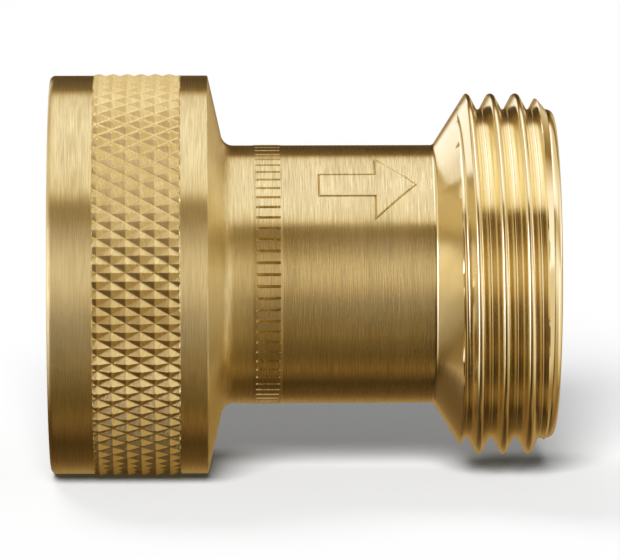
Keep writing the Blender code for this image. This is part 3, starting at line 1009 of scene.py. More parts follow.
def cut_out(piece, *cutters):
    """Takes the cutters out of a piece with exact Booleans, and removes them."""
    for cutter in cutters:
        boolean = piece.modifiers.new(cutter.name, "BOOLEAN")
        boolean.operation = "DIFFERENCE"
        boolean.solver = "EXACT"
        boolean.object = cutter
    bpy.context.view_layer.update()
    evaluated = piece.evaluated_get(bpy.context.evaluated_depsgraph_get())
    mesh = bpy.data.meshes.new_from_object(evaluated)
    piece.modifiers.clear()
    uncut = piece.data
    piece.data = mesh
    bpy.data.meshes.remove(uncut)
    shape = bmesh.new()
    shape.from_mesh(mesh)
    closed(shape, piece.name)
    shape.to_mesh(mesh)
    shape.free()
    mesh.shade_smooth()
    mesh.set_sharp_from_angle(angle=SHARP_EDGE)
    for cutter in cutters:
        bpy.data.objects.remove(cutter)
    return piece


def square_ring(low, high, hole):
    """The corners of a ring that fills a box round the axis, but for its hole."""
    return [(low.x, hole), (low.x, high.z), (high.x, high.z), (high.x, hole)]


def hand_in(piece, body, slot, *nodes):
    """Makes a finished piece ride on its body, in place of its frame nodes."""
    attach(piece, body)
    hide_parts(*nodes)


# ---------------------------------------------------------------------------------------------
# The brass body
# ---------------------------------------------------------------------------------------------

BODY_FINISHES = ("turned_brass", "neck_brass_painted_shade", "polished_brass", "knurled_brass")
TURNED, NECK, POLISHED, KNURLED = range(4)
OUTSIDE_COUNT = 320
INSIDE_COUNT = 192
LEAD_IN = 0.1 * MM


def knurled_sleeve(knurl):
    """The knurl's sleeve, cut square at both edges of its band."""
    columns = math.ceil((knurl.end - knurl.first_peak) / knurl.half_cell / 2.0)
    mesh = grow(
        knurl_tree(),
        {
            "Half Cell": knurl.half_cell,
            "First Peak": knurl.first_peak,
            "Peak Radius": knurl.peak_radius,
            "Depth": knurl.depth,
            "Cells": knurl.cells,
            "Columns": columns,
            "Material": None,
        },
    )
    shape = bmesh.new()
    shape.from_mesh(mesh)
    for place, keep in ((knurl.start, 1.0), (knurl.end, -1.0)):
        bmesh.ops.bisect_plane(
            shape,
            geom=[*shape.verts, *shape.edges, *shape.faces],
            dist=WELD / 4.0,
            plane_co=(place, 0.0, 0.0),
            plane_no=(keep, 0.0, 0.0),
            clear_inner=True,
        )
    shape.to_mesh(mesh)
    shape.free()
    return mesh


def grooved_band(knurl, body):
    return grow(
        grooved_band_tree(),
        {
            "Start": knurl.band_start,
            "End": knurl.band_end,
            "Radius": body.neck_radius,
            "Rise": knurl.band_rise,
            "Depth": knurl.groove_depth,
            "Edge": knurl.band_edge,
            "Grooves": knurl.grooves,
            "Rows": 19,
            "Steps": 12,
            "Material": None,
        },
    )


def outlet_thread(thread, start, start_slope):
    return grow(
        thread_tree("outlet_thread", inside=False),
        {
            "Start": start,
            "End": thread.thread_end,
            "Crest Place": thread.crest_place,
            "Pitch": thread.pitch,
            "Crest": thread.crest,
            "Root": thread.root,
            "Start Limit": thread.root,
            "End Limit": thread.root,
            "Start Slope": start_slope,
            "End Slope": math.tan(thread.chamfer),
            "Steps": 24,
            "Segments": OUTSIDE_COUNT,
            "Material": None,
        },
    )


def socket_thread(thread, body):
    return grow(
        thread_tree("socket_thread", inside=True),
        {
            "Start": BODY_LOW.x,
            "End": thread.socket_end,
            "Crest Place": thread.socket_place + thread.pitch / 2.0,
            "Pitch": thread.pitch,
            "Crest": thread.socket_root,
            "Root": thread.root,
            "Start Limit": thread.root + thread.socket_chamfer,
            "End Limit": body.relief,
            "Start Slope": -1.0,
            "End Slope": -2.0,
            "Steps": 12,
            "Segments": INSIDE_COUNT,
            "Material": None,
        },
    )


def arrow_outline(arrow, radius):
    """Corners of the arrow on the unrolled neck: x, and the distance round the neck."""
    centre = arrow.turn * radius
    return [
        Vector((arrow.tail, centre - arrow.shaft_half)),
        Vector((arrow.head, centre - arrow.shaft_half)),
        Vector((arrow.head, centre - arrow.head_half)),
        Vector((arrow.tip, centre)),
        Vector((arrow.head, centre + arrow.head_half)),
        Vector((arrow.head, centre + arrow.shaft_half)),
        Vector((arrow.tail, centre + arrow.shaft_half)),
    ]


def offset_outline(corners, distance):
    """The outline moved sideways by a distance, with its corners mitred."""
    moved = []
    for index, corner in enumerate(corners):
        before = (corner - corners[index - 1]).normalized()
        after = (corners[(index + 1) % len(corners)] - corner).normalized()
        side = Vector((before.y + after.y, -before.x - after.x)).normalized()
        lean = side.dot(Vector((before.y, -before.x)))
        moved.append(corner + side * (distance / max(lean, 0.35)))
    return moved


def along_outline(corners, pitch):
    """Points along a closed outline, its corners among them, about a pitch apart."""
    points = []
    for index, corner in enumerate(corners):
        after = corners[(index + 1) % len(corners)]
        steps = max(1, round((after - corner).length / pitch))
        points.extend(corner.lerp(after, step / steps) for step in range(steps))
    return points


def near_outline(point, corners, reach):
    for index, corner in enumerate(corners):
        side = corners[(index + 1) % len(corners)] - corner
        share_along = min(1.0, max(0.0, (point - corner).dot(side) / side.length_squared))
        if (corner + side * share_along - point).length < reach:
            return True
    return False


def engraved_neck(shape, arrow, start, end, radius):
    """The neck between two planes, with the arrow's outline cut in it as a narrow V.

    The neck is unrolled, its grid and the line's three edges are triangulated together, and
    the result is rolled up again.
    """
    outline = arrow_outline(arrow, radius)
    rows = 14
    step_length = math.tau * radius / OUTSIDE_COUNT
    points, edges = [], []
    for row in range(rows + 1):
        x = start + (end - start) * row / rows
        for step in range(OUTSIDE_COUNT + 1):
            point = Vector((x, step * step_length))
            if not near_outline(point, outline, arrow.line_width * 1.1):
                points.append(point)
    depths = {}
    for distance in (-arrow.line_width / 2.0, 0.0, arrow.line_width / 2.0):
        first = len(points)
        line = along_outline(offset_outline(outline, distance), 3.0 * arrow.line_width)
        points.extend(line)
        edges.extend((first + i, first + (i + 1) % len(line)) for i in range(len(line)))
        if distance == 0.0:
            depths = {first + i: arrow.line_depth for i in range(len(line))}
    flat, unused_edges, faces, origins, *unused = delaunay_2d_cdt(points, edges, [], 0, WELD / 10.0)
    vertices = []
    for point, sources in zip(flat, origins):
        depth = max((depths.get(source, 0.0) for source in sources), default=0.0)
        vertices.append(shape.verts.new(around(point.x, radius - depth, point.y / radius)))
    for corners in faces:
        shape.faces.new([vertices[corner] for corner in corners]).material_index = NECK
    bmesh.ops.remove_doubles(shape, verts=vertices, dist=WELD / 4.0)
    alive = [vertex for vertex in vertices if vertex.is_valid and vertex.is_boundary]
    rings = []
    for place in (start, end):
        edge = [vertex for vertex in alive if abs(vertex.co.x - place) < WELD]
        rings.append(sorted(edge, key=turn_of))
    return rings


def collar_back(body, knurl):
    """From the knurl's end over the collar's corner, down the slope and onto the neck."""
    corner = 0.1 * MM
    outline = [
        (knurl.end + LEAD_IN, body.collar_radius),
        (knurl.end + 3.0 * LEAD_IN, body.collar_radius),
    ]
    outline += arc(
        body.collar_length - corner,
        body.collar_radius - corner,
        corner,
        math.pi / 2.0,
        math.pi / 2.0 - body.collar_slope,
        5,
    )
    fillet_start = math.pi * 1.5 - body.collar_slope
    fillet = arc(
        body.neck_start,
        body.neck_radius + body.neck_fillet,
        body.neck_fillet,
        fillet_start,
        math.pi * 1.5,
        12,
    )
    top = Vector(outline[-1])
    foot = Vector(fillet[0])
    outline += [tuple(top.lerp(foot, step / 8.0)) for step in range(1, 8)]
    outline += fillet
    outline.append((knurl.band_start - LEAD_IN, body.neck_radius))
    return outline


def outlet_cone(body, start, thread_start, thread_root):
    """From the neck through a small fillet and up the cone to the thread's root."""
    fillet = body.cone_fillet
    outline = arc(
        start, body.neck_radius + fillet, fillet, math.pi * 1.5, math.pi * 1.5 + body.cone_slope, 6
    )
    foot = Vector(outline[-1])
    top = Vector((thread_start, thread_root))
    outline += [tuple(foot.lerp(top, step / 5.0)) for step in range(1, 6)]
    return outline


def outlet_tip(thread):
    """The short plain tip of the outlet, rounded over to its end face."""
    across = thread.root - thread.face_edge
    return arc(BODY_HIGH.x - across, thread.face_edge, across, math.pi / 2.0, 0.0, 8)


def body_bore(body, thread):
    """From the outlet's face back through the bore to the relief behind the socket's thread."""
    chamfer = 0.4 * MM
    return [
        (BODY_HIGH.x, (thread.face_edge + body.outlet_bore) / 2.0),
        (BODY_HIGH.x, body.outlet_bore + chamfer),
        (BODY_HIGH.x - chamfer, body.outlet_bore),
        (body.shoulder, body.outlet_bore),
        (body.shoulder, body.bore),
        (RIM_HIGH.x + 0.3 * MM, body.bore),
        (RIM_HIGH.x + 0.1 * MM, body.bore + 0.2 * MM),
        (RIM_HIGH.x + 0.1 * MM, body.strainer_seat),
        (body.ledge, body.strainer_seat),
        (body.ledge, body.relief - 0.3 * MM),
        (body.ledge - 0.3 * MM, body.relief),
        (thread.socket_end, body.relief),
    ]


def rim_mouth(body, thread, knurl):
    """From the middle of the inlet rim over its edge to the knurl."""
    inner = thread.root + thread.socket_chamfer
    outline = [(BODY_LOW.x, (inner + body.collar_radius - body.edge_round) / 2.0)]
    outline += arc(
        BODY_LOW.x + body.edge_round,
        body.collar_radius - body.edge_round,
        body.edge_round,
        math.pi,
        math.pi / 2.0,
        8,
    )
    outline.append((knurl.start - 3.0 * LEAD_IN, body.collar_radius))
    outline.append((knurl.start - LEAD_IN, body.collar_radius))
    return outline


class REGULATOR_OT_body(bpy.types.Operator):
    """Makes the brass body: knurled collar, engraved neck and both threads, as one closed mesh"""

    bl_idname = "regulator.body"
    bl_label = "Brass body"

    def execute(self, context):
        body = context.scene.regulator_body
        thread = context.scene.regulator_thread
        knurl = context.scene.regulator_knurl
        arrow = context.scene.regulator_arrow
        shape = bmesh.new()

        mouth = rim_mouth(body, thread, knurl)
        rim_edge, collar_edge = turned_stretch(shape, mouth, OUTSIDE_COUNT, TURNED)
        knurl_in, knurl_out = take_in(
            shape, knurled_sleeve(knurl), KNURLED, (knurl.start, knurl.end)
        )
        back = collar_back(body, knurl)
        back_edge, neck_edge = turned_stretch(shape, back, OUTSIDE_COUNT, TURNED)
        band_in, band_out = take_in(
            shape, grooved_band(knurl, body), NECK, (knurl.band_start, knurl.band_end)
        )
        cone_start = body.neck_end - body.cone_fillet * math.tan(body.cone_slope / 2.0)
        neck_in, neck_out = engraved_neck(
            shape, arrow, knurl.band_end + LEAD_IN, cone_start, body.neck_radius
        )
        thread_start = body.neck_end + (thread.root - body.neck_radius) / math.tan(body.cone_slope)
        cone = outlet_cone(body, cone_start, thread_start, thread.root)
        cone_in, cone_out = turned_stretch(shape, cone, OUTSIDE_COUNT, POLISHED)
        thread_in, thread_out = take_in(
            shape,
            outlet_thread(thread, thread_start, math.tan(body.cone_slope)),
            POLISHED,
            (thread_start, thread.thread_end),
        )
        tip_in, tip_out = turned_stretch(shape, outlet_tip(thread), OUTSIDE_COUNT, POLISHED)
        face_edge, relief_edge = turned_stretch(
            shape, body_bore(body, thread), INSIDE_COUNT, TURNED
        )
        socket_out, socket_in = take_in(
            shape, socket_thread(thread, body), POLISHED, (BODY_LOW.x, thread.socket_end)
        )

        joints = (
            (collar_edge, knurl_in, TURNED),
            (knurl_out, back_edge, TURNED),
            (neck_edge, band_in, NECK),
            (band_out, neck_in, NECK),
            (neck_out, cone_in, NECK),
            (cone_out, thread_in, POLISHED),
            (thread_out, tip_in, POLISHED),
            (tip_out, face_edge, TURNED),
            (relief_edge, socket_in, TURNED),
            (socket_out, rim_edge, TURNED),
        )
        for first, second, finish in joints:
            bridge(shape, first, second, finish)
        made = to_object("brass_body", closed(shape, "brass_body"), *BODY_FINISHES)
        made = cut_out(made, self.vent(body))
        for face in made.data.polygons:
            face.use_smooth = face.material_index != KNURLED
        hand_in(made, "casing", "brass_body", "body")
        return {"FINISHED"}

    def vent(self, body):
        """A pin through the back of the neck, to cut the spring chamber's vent hole with."""
        shape = bmesh.new()
        reach = body.neck_radius - body.bore + MM
        middle = Vector((body.vent_place, (body.neck_radius + body.bore) / 2.0, 0.0))
        where = Matrix.Translation(middle) @ Matrix.Rotation(math.pi / 2.0, 4, "X")
        bmesh.ops.create_cone(
            shape,
            cap_ends=True,
            segments=40,
            radius1=body.vent_radius,
            radius2=body.vent_radius,
            depth=reach,
            matrix=where,
        )
        return to_object("cutter", shape)


# ---------------------------------------------------------------------------------------------
# The cartridge
# ---------------------------------------------------------------------------------------------


class REGULATOR_OT_inlet(bpy.types.Operator):
    """Makes the inlet washer and the strainer: a rolled rim and a screen of woven wire"""

    bl_idname = "regulator.inlet"
    bl_label = "Inlet washer and strainer"

    def execute(self, context):
        sizes = context.scene.regulator_cartridge
        self.add_washer(sizes)
        outer = RIM_HIGH.z
        roll = 0.3 * MM
        rolled = sizes.strainer_hole + roll
        outline = [(RIM_LOW.x, outer), (RIM_LOW.x, rolled)]
        outline += arc(RIM_LOW.x + roll, rolled, roll, math.pi, math.pi * 1.5, 6)
        outline += [(RIM_HIGH.x, sizes.strainer_hole), (RIM_HIGH.x, outer)]
        rim = turned("rolled_rim", outline, "satin_steel", edge=0.03 * MM)
        hand_in(rim, "casing", "stainless_steel", "strainer_rim")

        screen_low, screen_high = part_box("strainer_mesh")
        screen = grow(
            screen_tree(),
            {
                "Base": screen_high.x,
                "Tip": screen_low.x + 2.0 * sizes.screen_wire,
                "Radius": sizes.strainer_hole,
                "Spacing": sizes.screen_spacing,
                "Wire Radius": sizes.screen_wire,
                "Wires": 2 * math.floor(sizes.strainer_hole / sizes.screen_spacing) + 1,
                "Material": finish_of("satin_steel"),
            },
        )
        woven = mesh_object("woven_screen", screen)
        hand_in(woven, "casing", "stainless_steel", "strainer_mesh")
        return {"FINISHED"}

    def add_washer(self, sizes):
        """A flat rubber washer with two fine rings moulded into its face."""
        low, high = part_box("inlet_washer")
        outline = [(low.x, sizes.washer_hole)]
        for place in (0.35, 0.65):
            middle = sizes.washer_hole + (high.z - sizes.washer_hole) * place
            notch = 0.16 * MM
            outline += [(low.x, middle - notch), (low.x + notch, middle), (low.x, middle + notch)]
        outline += [(low.x, high.z), (high.x, high.z), (high.x, sizes.washer_hole)]
        washer = turned("tap_washer", outline, "seal_rubber", edge=0.12 * MM)
        hand_in(washer, "casing", "black_rubber", "inlet_washer")


class REGULATOR_OT_seat(bpy.types.Operator):
    """Makes the retaining ring, and the seat carrier with its disc and screw"""

    bl_idname = "regulator.seat"
    bl_label = "Retaining ring and seat"

    def execute(self, context):
        sizes = context.scene.regulator_cartridge
        self.add_retaining_ring(sizes)
        self.add_carrier(sizes)
        self.add_disc_and_screw(sizes)
        return {"FINISHED"}

    def add_retaining_ring(self, sizes):
        """A ring with a fine outside thread and a spanner notch at either side."""
        low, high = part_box("retaining_ring")
        hole, outer = sizes.retainer_hole, high.z
        depth = 0.14 * MM
        outline = [(low.x, hole), (low.x, outer - depth)]
        turns = 4
        for step in range(2 * turns - 1):
            share_done = (step + 1) / (2 * turns)
            radius = outer if step % 2 == 0 else outer - depth
            outline.append((low.x + (high.x - low.x) * share_done, radius))
        outline += [(high.x, outer - depth), (high.x, hole)]
        made = turned("threaded_ring", outline, "cartridge_brass", edge=0.05 * MM)
        half = sizes.notch_width / 2.0
        reach = 2.0 * outer
        notch = block((low.x - MM, -half, -reach), (low.x + sizes.notch_depth, half, reach))
        hand_in(cut_out(made, notch), "casing", "cartridge_brass", "retaining_ring")

    def add_carrier(self, sizes):
        low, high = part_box("seat_carrier")
        disc_low, disc_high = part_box("seat_disc")
        gap = sizes.clearance
        hole = sizes.screw_shank + gap
        recess = disc_high.z + gap
        recess_x = disc_low.x - gap / 2.0
        outline = [
            (low.x, hole),
            (low.x, high.z),
            (high.x, high.z),
            (high.x, sizes.carrier_skirt),
            (sizes.web_end, sizes.carrier_skirt),
            (sizes.web_end, sizes.carrier_hub),
            (disc_high.x, sizes.carrier_hub),
            (disc_high.x, recess),
            (recess_x, recess),
            (recess_x, hole),
        ]
        made = turned("spider", outline, "white_acetal", edge=0.1 * MM)
        ways = []
        for number in range(sizes.waterways):
            centre = math.tau * number / sizes.waterways
            ways.append(
                sector(
                    low.x - MM,
                    sizes.web_end + MM,
                    sizes.waterway_inner,
                    sizes.waterway_outer,
                    centre,
                    sizes.waterway_spread,
                )
            )
        hand_in(cut_out(made, *ways), "casing", "white_acetal", "seat_carrier")

    def add_disc_and_screw(self, sizes):
        disc_low, disc_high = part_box("seat_disc")
        hole = sizes.screw_shank + sizes.clearance
        outline = square_ring(disc_low, disc_high, hole)
        disc = turned("valve_disc", outline, "seal_rubber", 96, edge=0.1 * MM)
        hand_in(disc, "casing", "black_rubber", "seat_disc")

        low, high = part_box("seat_screw")
        under_head = disc_high.x + sizes.clearance / 2.0
        outline = [
            (low.x, 0.0),
            (low.x, sizes.screw_shank),
            (under_head, sizes.screw_shank),
            (under_head, high.z),
            (high.x - 0.12 * MM, high.z),
            (high.x, high.z * 0.78),
            (high.x, 0.0),
        ]
        screw = turned("slotted_screw", outline, "satin_steel", 64, edge=0.05 * MM)
        half = 0.17 * MM
        reach = 2.0 * high.z
        slot = block((high.x - 0.3 * MM, -reach, -half), (high.x + MM, reach, half))
        hand_in(cut_out(screw, slot), "casing", "stainless_steel", "seat_screw")


def o_ring(name, body, node):
    """A rubber ring that fills the room of its node."""
    low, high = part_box(node)
    section = (high.x - low.x) / 2.0
    middle = (high.x + low.x) / 2.0
    circle = arc(middle, high.z - section, section, 0.0, math.tau, 28)[:-1]
    hand_in(turned(name, circle, "seal_rubber", 160, edge=0.0), body, "black_rubber", node)


def grooved(start, end, radius, groove_middle, groove_width, groove_radius):
    """The corners of a cylinder with one square groove, from its start to its end."""
    groove_low = groove_middle - groove_width / 2.0
    groove_high = groove_middle + groove_width / 2.0
    return [
        (start, radius),
        (groove_low, radius),
        (groove_low, groove_radius),
        (groove_high, groove_radius),
        (groove_high, radius),
        (end, radius),
    ]


class REGULATOR_OT_guide(bpy.types.Operator):
    """Makes the stem's guide with its two O-rings, the spring's washer and the spring"""

    bl_idname = "regulator.guide"
    bl_label = "Guide and spring"

    def execute(self, context):
        sizes = context.scene.regulator_cartridge
        low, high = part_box("stem_guide")
        stem_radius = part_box("piston_stem")[1].z
        bore = stem_radius + sizes.clearance
        middle, width, depth = (low.x + high.x) / 2.0, sizes.groove_width, sizes.groove_depth
        outside = grooved(low.x, high.x, high.z, middle, width, high.z - depth)
        inside = grooved(low.x, high.x, bore, middle, width, bore + depth)
        bush = turned("guide_bush", outside + inside[::-1], "white_acetal", edge=0.1 * MM)
        hand_in(bush, "casing", "white_acetal", "stem_guide")
        o_ring("outer_seal", "casing", "guide_o_ring")
        o_ring("inner_seal", "casing", "stem_o_ring")

        low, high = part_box("spring_washer")
        outline = square_ring(low, high, stem_radius + 4.0 * sizes.clearance)
        washer = turned("flat_washer", outline, "satin_steel", edge=0.08 * MM)
        hand_in(washer, "casing", "stainless_steel", "spring_washer")
        self.add_spring(sizes)
        return {"FINISHED"}

    def add_spring(self, sizes):
        low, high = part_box("spring")
        values = {
            "Start": low.x,
            "End": high.x,
            "Mean Radius": sizes.spring_mean,
            "Wire Radius": sizes.spring_wire / 2.0,
            "End Turns": 0.75,
            "Open Turns": 2.75,
            "End Pitch": sizes.spring_wire + sizes.clearance,
            "Material": finish_of("drawn_wire"),
        }
        coil = mesh_object("coil_spring", grow(spring_tree(), values))
        hand_in(coil, "casing", "spring_steel", "spring")
        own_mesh(coil)


class REGULATOR_OT_piston(bpy.types.Operator):
    """Makes the piston: hollow stem, head, O-ring and split wear ring"""

    bl_idname = "regulator.piston"
    bl_label = "Piston"

    def execute(self, context):
        sizes = context.scene.regulator_cartridge
        stem_low, stem_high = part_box("piston_stem")
        head_low, head_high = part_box("piston_head")
        lip_wall = sizes.stem_lip - sizes.stem_bore
        outline = [
            (stem_low.x, sizes.stem_bore + lip_wall * 0.35),
            (stem_low.x, sizes.stem_lip),
            (stem_low.x + stem_high.z - sizes.stem_lip, stem_high.z),
            (stem_high.x, stem_high.z),
            (stem_high.x, sizes.stem_bore),
            (stem_low.x + lip_wall, sizes.stem_bore),
        ]
        stem = turned("hollow_stem", outline, "satin_steel", 96, edge=0.04 * MM)
        hand_in(stem, "piston", "stainless_steel", "piston_stem")

        ring_low, ring_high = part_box("piston_o_ring")
        wear_low, wear_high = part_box("piston_wear_ring")
        gap = sizes.clearance
        middle = (ring_low.x + ring_high.x) / 2.0
        outer = sizes.head_radius
        socket = stem_high.z + gap / 2.0
        outline = [(head_low.x, socket)]
        outline += grooved(
            head_low.x,
            wear_low.x - gap,
            outer,
            middle,
            sizes.groove_width,
            outer - sizes.groove_depth,
        )
        outline += [
            (wear_low.x - gap, sizes.wear_groove),
            (wear_high.x + gap, sizes.wear_groove),
            (wear_high.x + gap, outer),
            (head_high.x, outer),
            (head_high.x, sizes.flare),
            (stem_high.x + gap, sizes.stem_bore),
            (stem_high.x + gap, socket),
        ]
        head = turned("flared_head", outline, "cartridge_brass", edge=0.05 * MM)
        hand_in(head, "piston", "cartridge_brass", "piston_head")
        o_ring("piston_seal", "piston", "piston_o_ring")
        self.add_wear_ring(sizes, wear_low, wear_high)
        return {"FINISHED"}

    def add_wear_ring(self, sizes, low, high):
        """A PTFE ring, cut straight across so that it can be sprung over the head."""
        inner = sizes.wear_groove + sizes.clearance / 2.0
        outline = square_ring(low, high, inner)
        ring_made = turned("split_ring", outline, "waxy_ptfe", 160, edge=0.04 * MM)
        half = 0.15 * MM
        split = block((low.x - MM, -half, 0.0), (high.x + MM, half, 2.0 * high.z))
        hand_in(cut_out(ring_made, split), "piston", "ptfe", "piston_wear_ring")


# ---------------------------------------------------------------------------------------------
# The stage
# ---------------------------------------------------------------------------------------------


# The room's tones, in degrees round the flow axis from the camera over the top: square to the
# axis, leaning to either side of that, and out past either end of the axis.
MIDDLE_TONES = (
    (-180.0, 0.3), (-160.0, 0.29), (-150.0, 0.18), (-139.0, 0.1), (-113.0, 0.02), (-94.0, 0.17),
    (-79.0, 0.03), (-64.0, 0.05), (-55.0, 0.12), (-45.0, 0.06), (-27.0, 0.06), (-21.0, 0.09),
    (-15.0, 0.25), (-3.0, 0.5), (8.0, 0.52), (20.0, 0.13), (30.0, 0.06), (40.0, 0.05),
    (44.0, 0.08), (48.0, 1.3), (63.0, 1.7), (80.0, 1.85), (95.0, 1.8), (112.0, 1.55), (126.0, 1.35),
    (133.0, 0.14), (150.0, 0.03), (170.0, 0.1), (180.0, 0.3),
)
INLET_TONES = (
    (-180.0, 0.3), (-160.0, 0.1), (-113.0, 0.03), (-94.0, 0.07), (-75.0, 0.03), (-45.0, 0.06),
    (-27.0, 0.15), (-15.0, 0.3), (-3.0, 0.4), (20.0, 0.3), (38.0, 0.18), (44.0, 0.22),
    (50.0, 0.7), (60.0, 0.8), (75.0, 0.8), (100.0, 0.7), (126.0, 0.8), (138.0, 0.1),
    (150.0, 0.5), (155.0, 1.3), (180.0, 1.4),
)
OUTLET_TONES = (
    (-180.0, 0.3), (-160.0, 0.35), (-140.0, 0.15), (-113.0, 0.2), (-94.0, 0.3), (-75.0, 0.34),
    (-55.0, 0.45), (-27.0, 0.75), (-15.0, 1.0), (-3.0, 1.2), (14.0, 1.15), (20.0, 1.0),
    (30.0, 0.7), (38.0, 0.55), (44.0, 0.6), (50.0, 1.2), (60.0, 1.4), (75.0, 1.1), (100.0, 0.8),
    (126.0, 0.8), (138.0, 0.15), (150.0, 0.2), (165.0, 0.7), (180.0, 0.8),
)
INLET_END_TONES = (
    (-180.0, 1.2), (-120.0, 1.3), (-80.0, 1.7), (-50.0, 2.3), (-25.0, 3.2), (36.0, 4.0),
    (48.0, 1.0), (70.0, 0.9), (120.0, 1.0), (155.0, 1.2), (165.0, 1.7), (180.0, 1.7),
)
OUTLET_END_TONES = (
    (-180.0, 0.8), (-120.0, 0.8), (-70.0, 1.2), (-40.0, 1.4), (0.0, 1.4), (30.0, 0.6),
    (69.0, 0.4), (77.0, 1.0), (120.0, 1.0), (150.0, 1.3), (165.0, 1.6), (180.0, 1.6),
)
# How red and blue follow a tone, so that dark brass is browner than pale brass: the lowest tone
# that still shifts the colour, its power and its gain. Above SHIFT_TOP the colour stays.
RED_SHIFT = (0.15, -0.24, 1.09)
BLUE_SHIFT = (0.25, 0.65, 0.89)
SHIFT_TOP = 1.5
# How far a ray leans along the axis where it starts to see the side tones, and sees only them.
NEAR_SIDE = (0.17, 0.27)
FAR_SIDE = (0.7, 0.85)
# Name, tilt towards the camera, turn about the vertical, spread and strength of each sun.
SUNS = (
    ("front_sun", 60.0, -6.0, 22.0, 5.2),
    ("back_sun", 32.0, -150.0, 24.0, 0.6),
)


def tone_ramp(tree, degrees, tones):
    """Looks an angle up in a list of (degrees, tone)."""
    curve = add_node(tree, "ShaderNodeFloatCurve", Value=degrees / 360.0 + 0.5)
    points = curve.mapping.curves[0].points
    while len(points) < len(tones):
        points.new(0.5, 0.5)
    top = max(tone for place, tone in tones)
    for point, (place, tone) in zip(points, tones):
        point.location = (place / 360.0 + 0.5, tone / top)
        point.handle_type = "VECTOR"
    curve.mapping.update()
    return Field(tree, curve.outputs[0]) * top


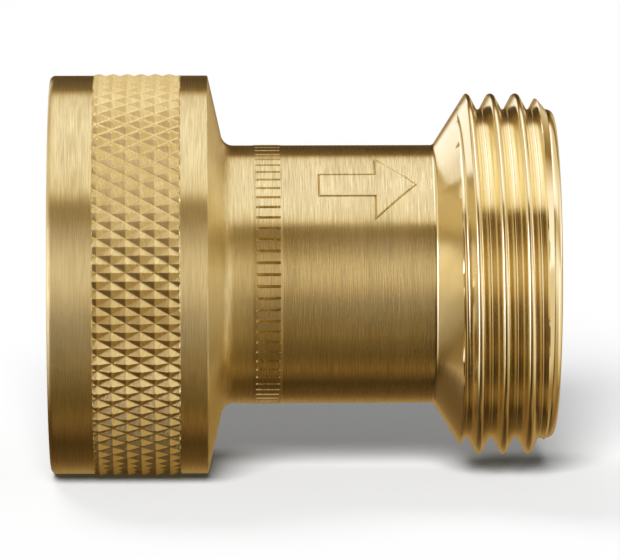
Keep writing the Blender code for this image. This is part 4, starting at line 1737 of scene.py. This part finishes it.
class REGULATOR_OT_stage(bpy.types.Operator):
    """Makes the camera, the pale floor, two soft suns and the room that the brass reflects"""

    bl_idname = "regulator.stage"
    bl_label = "Studio"

    def execute(self, context):
        stage = context.scene.regulator_stage
        self.add_camera(context, stage)
        self.add_floor(context)
        for sun in SUNS:
            self.add_sun(context, *sun)
        self.add_room(context, stage)
        context.scene.view_settings.view_transform = "Standard"
        return {"FINISHED"}

    def add_camera(self, context, stage):
        data = bpy.data.cameras.new("camera")
        camera = bpy.data.objects.new("camera", data)
        context.scene.collection.objects.link(camera)
        aim = Vector((stage.aim_along, 0.0, -stage.aim_below))
        level = math.cos(stage.camera_elevation)
        back = Vector(
            (
                math.sin(stage.camera_azimuth) * level,
                -math.cos(stage.camera_azimuth) * level,
                math.sin(stage.camera_elevation),
            )
        )
        camera.location = aim + back * stage.camera_distance
        camera.rotation_euler = (-back).to_track_quat("-Z", "Y").to_euler()
        data.sensor_width = 36.0
        data.lens = data.sensor_width * stage.camera_distance / stage.frame_width
        data.clip_start = 0.01
        data.clip_end = 20.0
        context.scene.camera = camera

    def add_floor(self, context):
        """A pale sheet that the brass doesn't mirror, as the room has its tone already."""
        mesh = bpy.data.meshes.new("floor")
        shape = bmesh.new()
        lift = Matrix.Translation((0.0, 0.0, cad_low.z))
        bmesh.ops.create_grid(shape, x_segments=1, y_segments=1, size=6.0, matrix=lift)
        shape.to_mesh(mesh)
        shape.free()
        floor = bpy.data.objects.new("floor", mesh)
        floor.visible_glossy = False
        material = bpy.data.materials.new("paper_floor")
        material.use_nodes = True
        shader = material.node_tree.nodes["Principled BSDF"]
        shader.inputs["Base Color"].default_value = (0.9, 0.9, 0.9, 1.0)
        shader.inputs["Roughness"].default_value = 1.0
        shader.inputs["Specular IOR Level"].default_value = 0.0
        mesh.materials.append(material)
        context.scene.collection.objects.link(floor)

    def add_sun(self, context, name, tilt, turn, spread, strength):
        """A wide soft sun that throws shadows but isn't mirrored."""
        data = bpy.data.lights.new(name, "SUN")
        data.angle = math.radians(spread)
        data.energy = strength
        sun = bpy.data.objects.new(name, data)
        sun.rotation_euler = (math.radians(tilt), 0.0, math.radians(turn))
        sun.visible_glossy = False
        context.scene.collection.objects.link(sun)

    def add_room(self, context, stage):
        """The room: plain white to the camera and the floor, and toned in the brass's mirror.

        The tones go by the angle round the flow axis, from level in front, over the top and
        under the floor. Towards either end of the axis they give way to the side tones.
        """
        world = bpy.data.worlds.new("room")
        world.use_nodes = True
        tree = world.node_tree
        mirrored = tree.nodes["Background"]
        place = add_node(tree, "ShaderNodeTexCoord")
        split = add_node(tree, "ShaderNodeSeparateXYZ", Vector=place.outputs["Generated"])
        x, y, z = (Field(tree, output) for output in split.outputs)
        from_camera = z.step("ARCTAN2", -y) - stage.camera_elevation
        degrees = (from_camera * (180.0 / math.pi)).between(-180.0, 180.0)
        tone = tone_ramp(tree, degrees, MIDDLE_TONES)
        for side, near, far in (
            (-x, INLET_TONES, INLET_END_TONES),
            (x, OUTLET_TONES, OUTLET_END_TONES),
        ):
            for tones, lean in ((near, NEAR_SIDE), (far, FAR_SIDE)):
                tone = tone + (tone_ramp(tree, degrees, tones) - tone) * contrast(side, *lean)
        tone = tone * stage.room_strength
        red, blue = (
            tone * tone.between(lowest, SHIFT_TOP) ** power * gain
            for lowest, power, gain in (RED_SHIFT, BLUE_SHIFT)
        )
        warm = add_node(tree, "ShaderNodeCombineColor", Red=red, Green=tone, Blue=blue)
        tree.links.new(warm.outputs[0], mirrored.inputs[0])

        plain = add_node(tree, "ShaderNodeBackground")
        plain.inputs[0].default_value = (1.0, 1.0, 1.0, 1.0)
        ray = add_node(tree, "ShaderNodeLightPath")
        seen = Field(tree, ray.outputs["Is Camera Ray"])
        plug(tree, seen * (stage.backdrop - stage.ambient) + stage.ambient, plain.inputs[1])
        choice = tree.nodes.new("ShaderNodeMixShader")
        from_floor = Field(tree, ray.outputs["Diffuse Depth"]).at_most(1.0)
        by_brass = Field(tree, ray.outputs["Is Glossy Ray"]) * (1.0 - from_floor)
        plug(tree, by_brass, choice.inputs[0])
        tree.links.new(plain.outputs[0], choice.inputs[1])
        tree.links.new(mirrored.outputs[0], choice.inputs[2])
        tree.links.new(choice.outputs[0], tree.nodes["World Output"].inputs[0])
        context.scene.world = world


class REGULATOR_PT_panel(bpy.types.Panel):
    """Lists the regulator's pieces and their sizes."""

    bl_idname = "REGULATOR_PT_panel"
    bl_label = "Water pressure regulator"
    bl_space_type = "VIEW_3D"
    bl_region_type = "UI"
    bl_category = "Regulator"

    def draw(self, context):
        layout = self.layout
        for operator in OPERATORS:
            layout.operator(operator.bl_idname)
        for name, group in SETTINGS:
            settings = getattr(context.scene, name)
            box = layout.box()
            box.label(text=group.__doc__)
            for item in group.__annotations__:
                box.prop(settings, item)


OPERATORS = (
    REGULATOR_OT_finishes,
    REGULATOR_OT_body,
    REGULATOR_OT_inlet,
    REGULATOR_OT_seat,
    REGULATOR_OT_guide,
    REGULATOR_OT_piston,
    REGULATOR_OT_stage,
)


def register():
    for name, group in SETTINGS:
        bpy.utils.register_class(group)
        setattr(bpy.types.Scene, name, PointerProperty(type=group))
    for operator in OPERATORS:
        bpy.utils.register_class(operator)
    bpy.utils.register_class(REGULATOR_PT_panel)


def unregister():
    bpy.utils.unregister_class(REGULATOR_PT_panel)
    for operator in reversed(OPERATORS):
        bpy.utils.unregister_class(operator)
    for name, group in reversed(SETTINGS):
        delattr(bpy.types.Scene, name)
        bpy.utils.unregister_class(group)


def main():
    register()
    for operator in OPERATORS:
        group, action = operator.bl_idname.split(".")
        getattr(getattr(bpy.ops, group), action)()


if __name__ == "__main__":
    main()
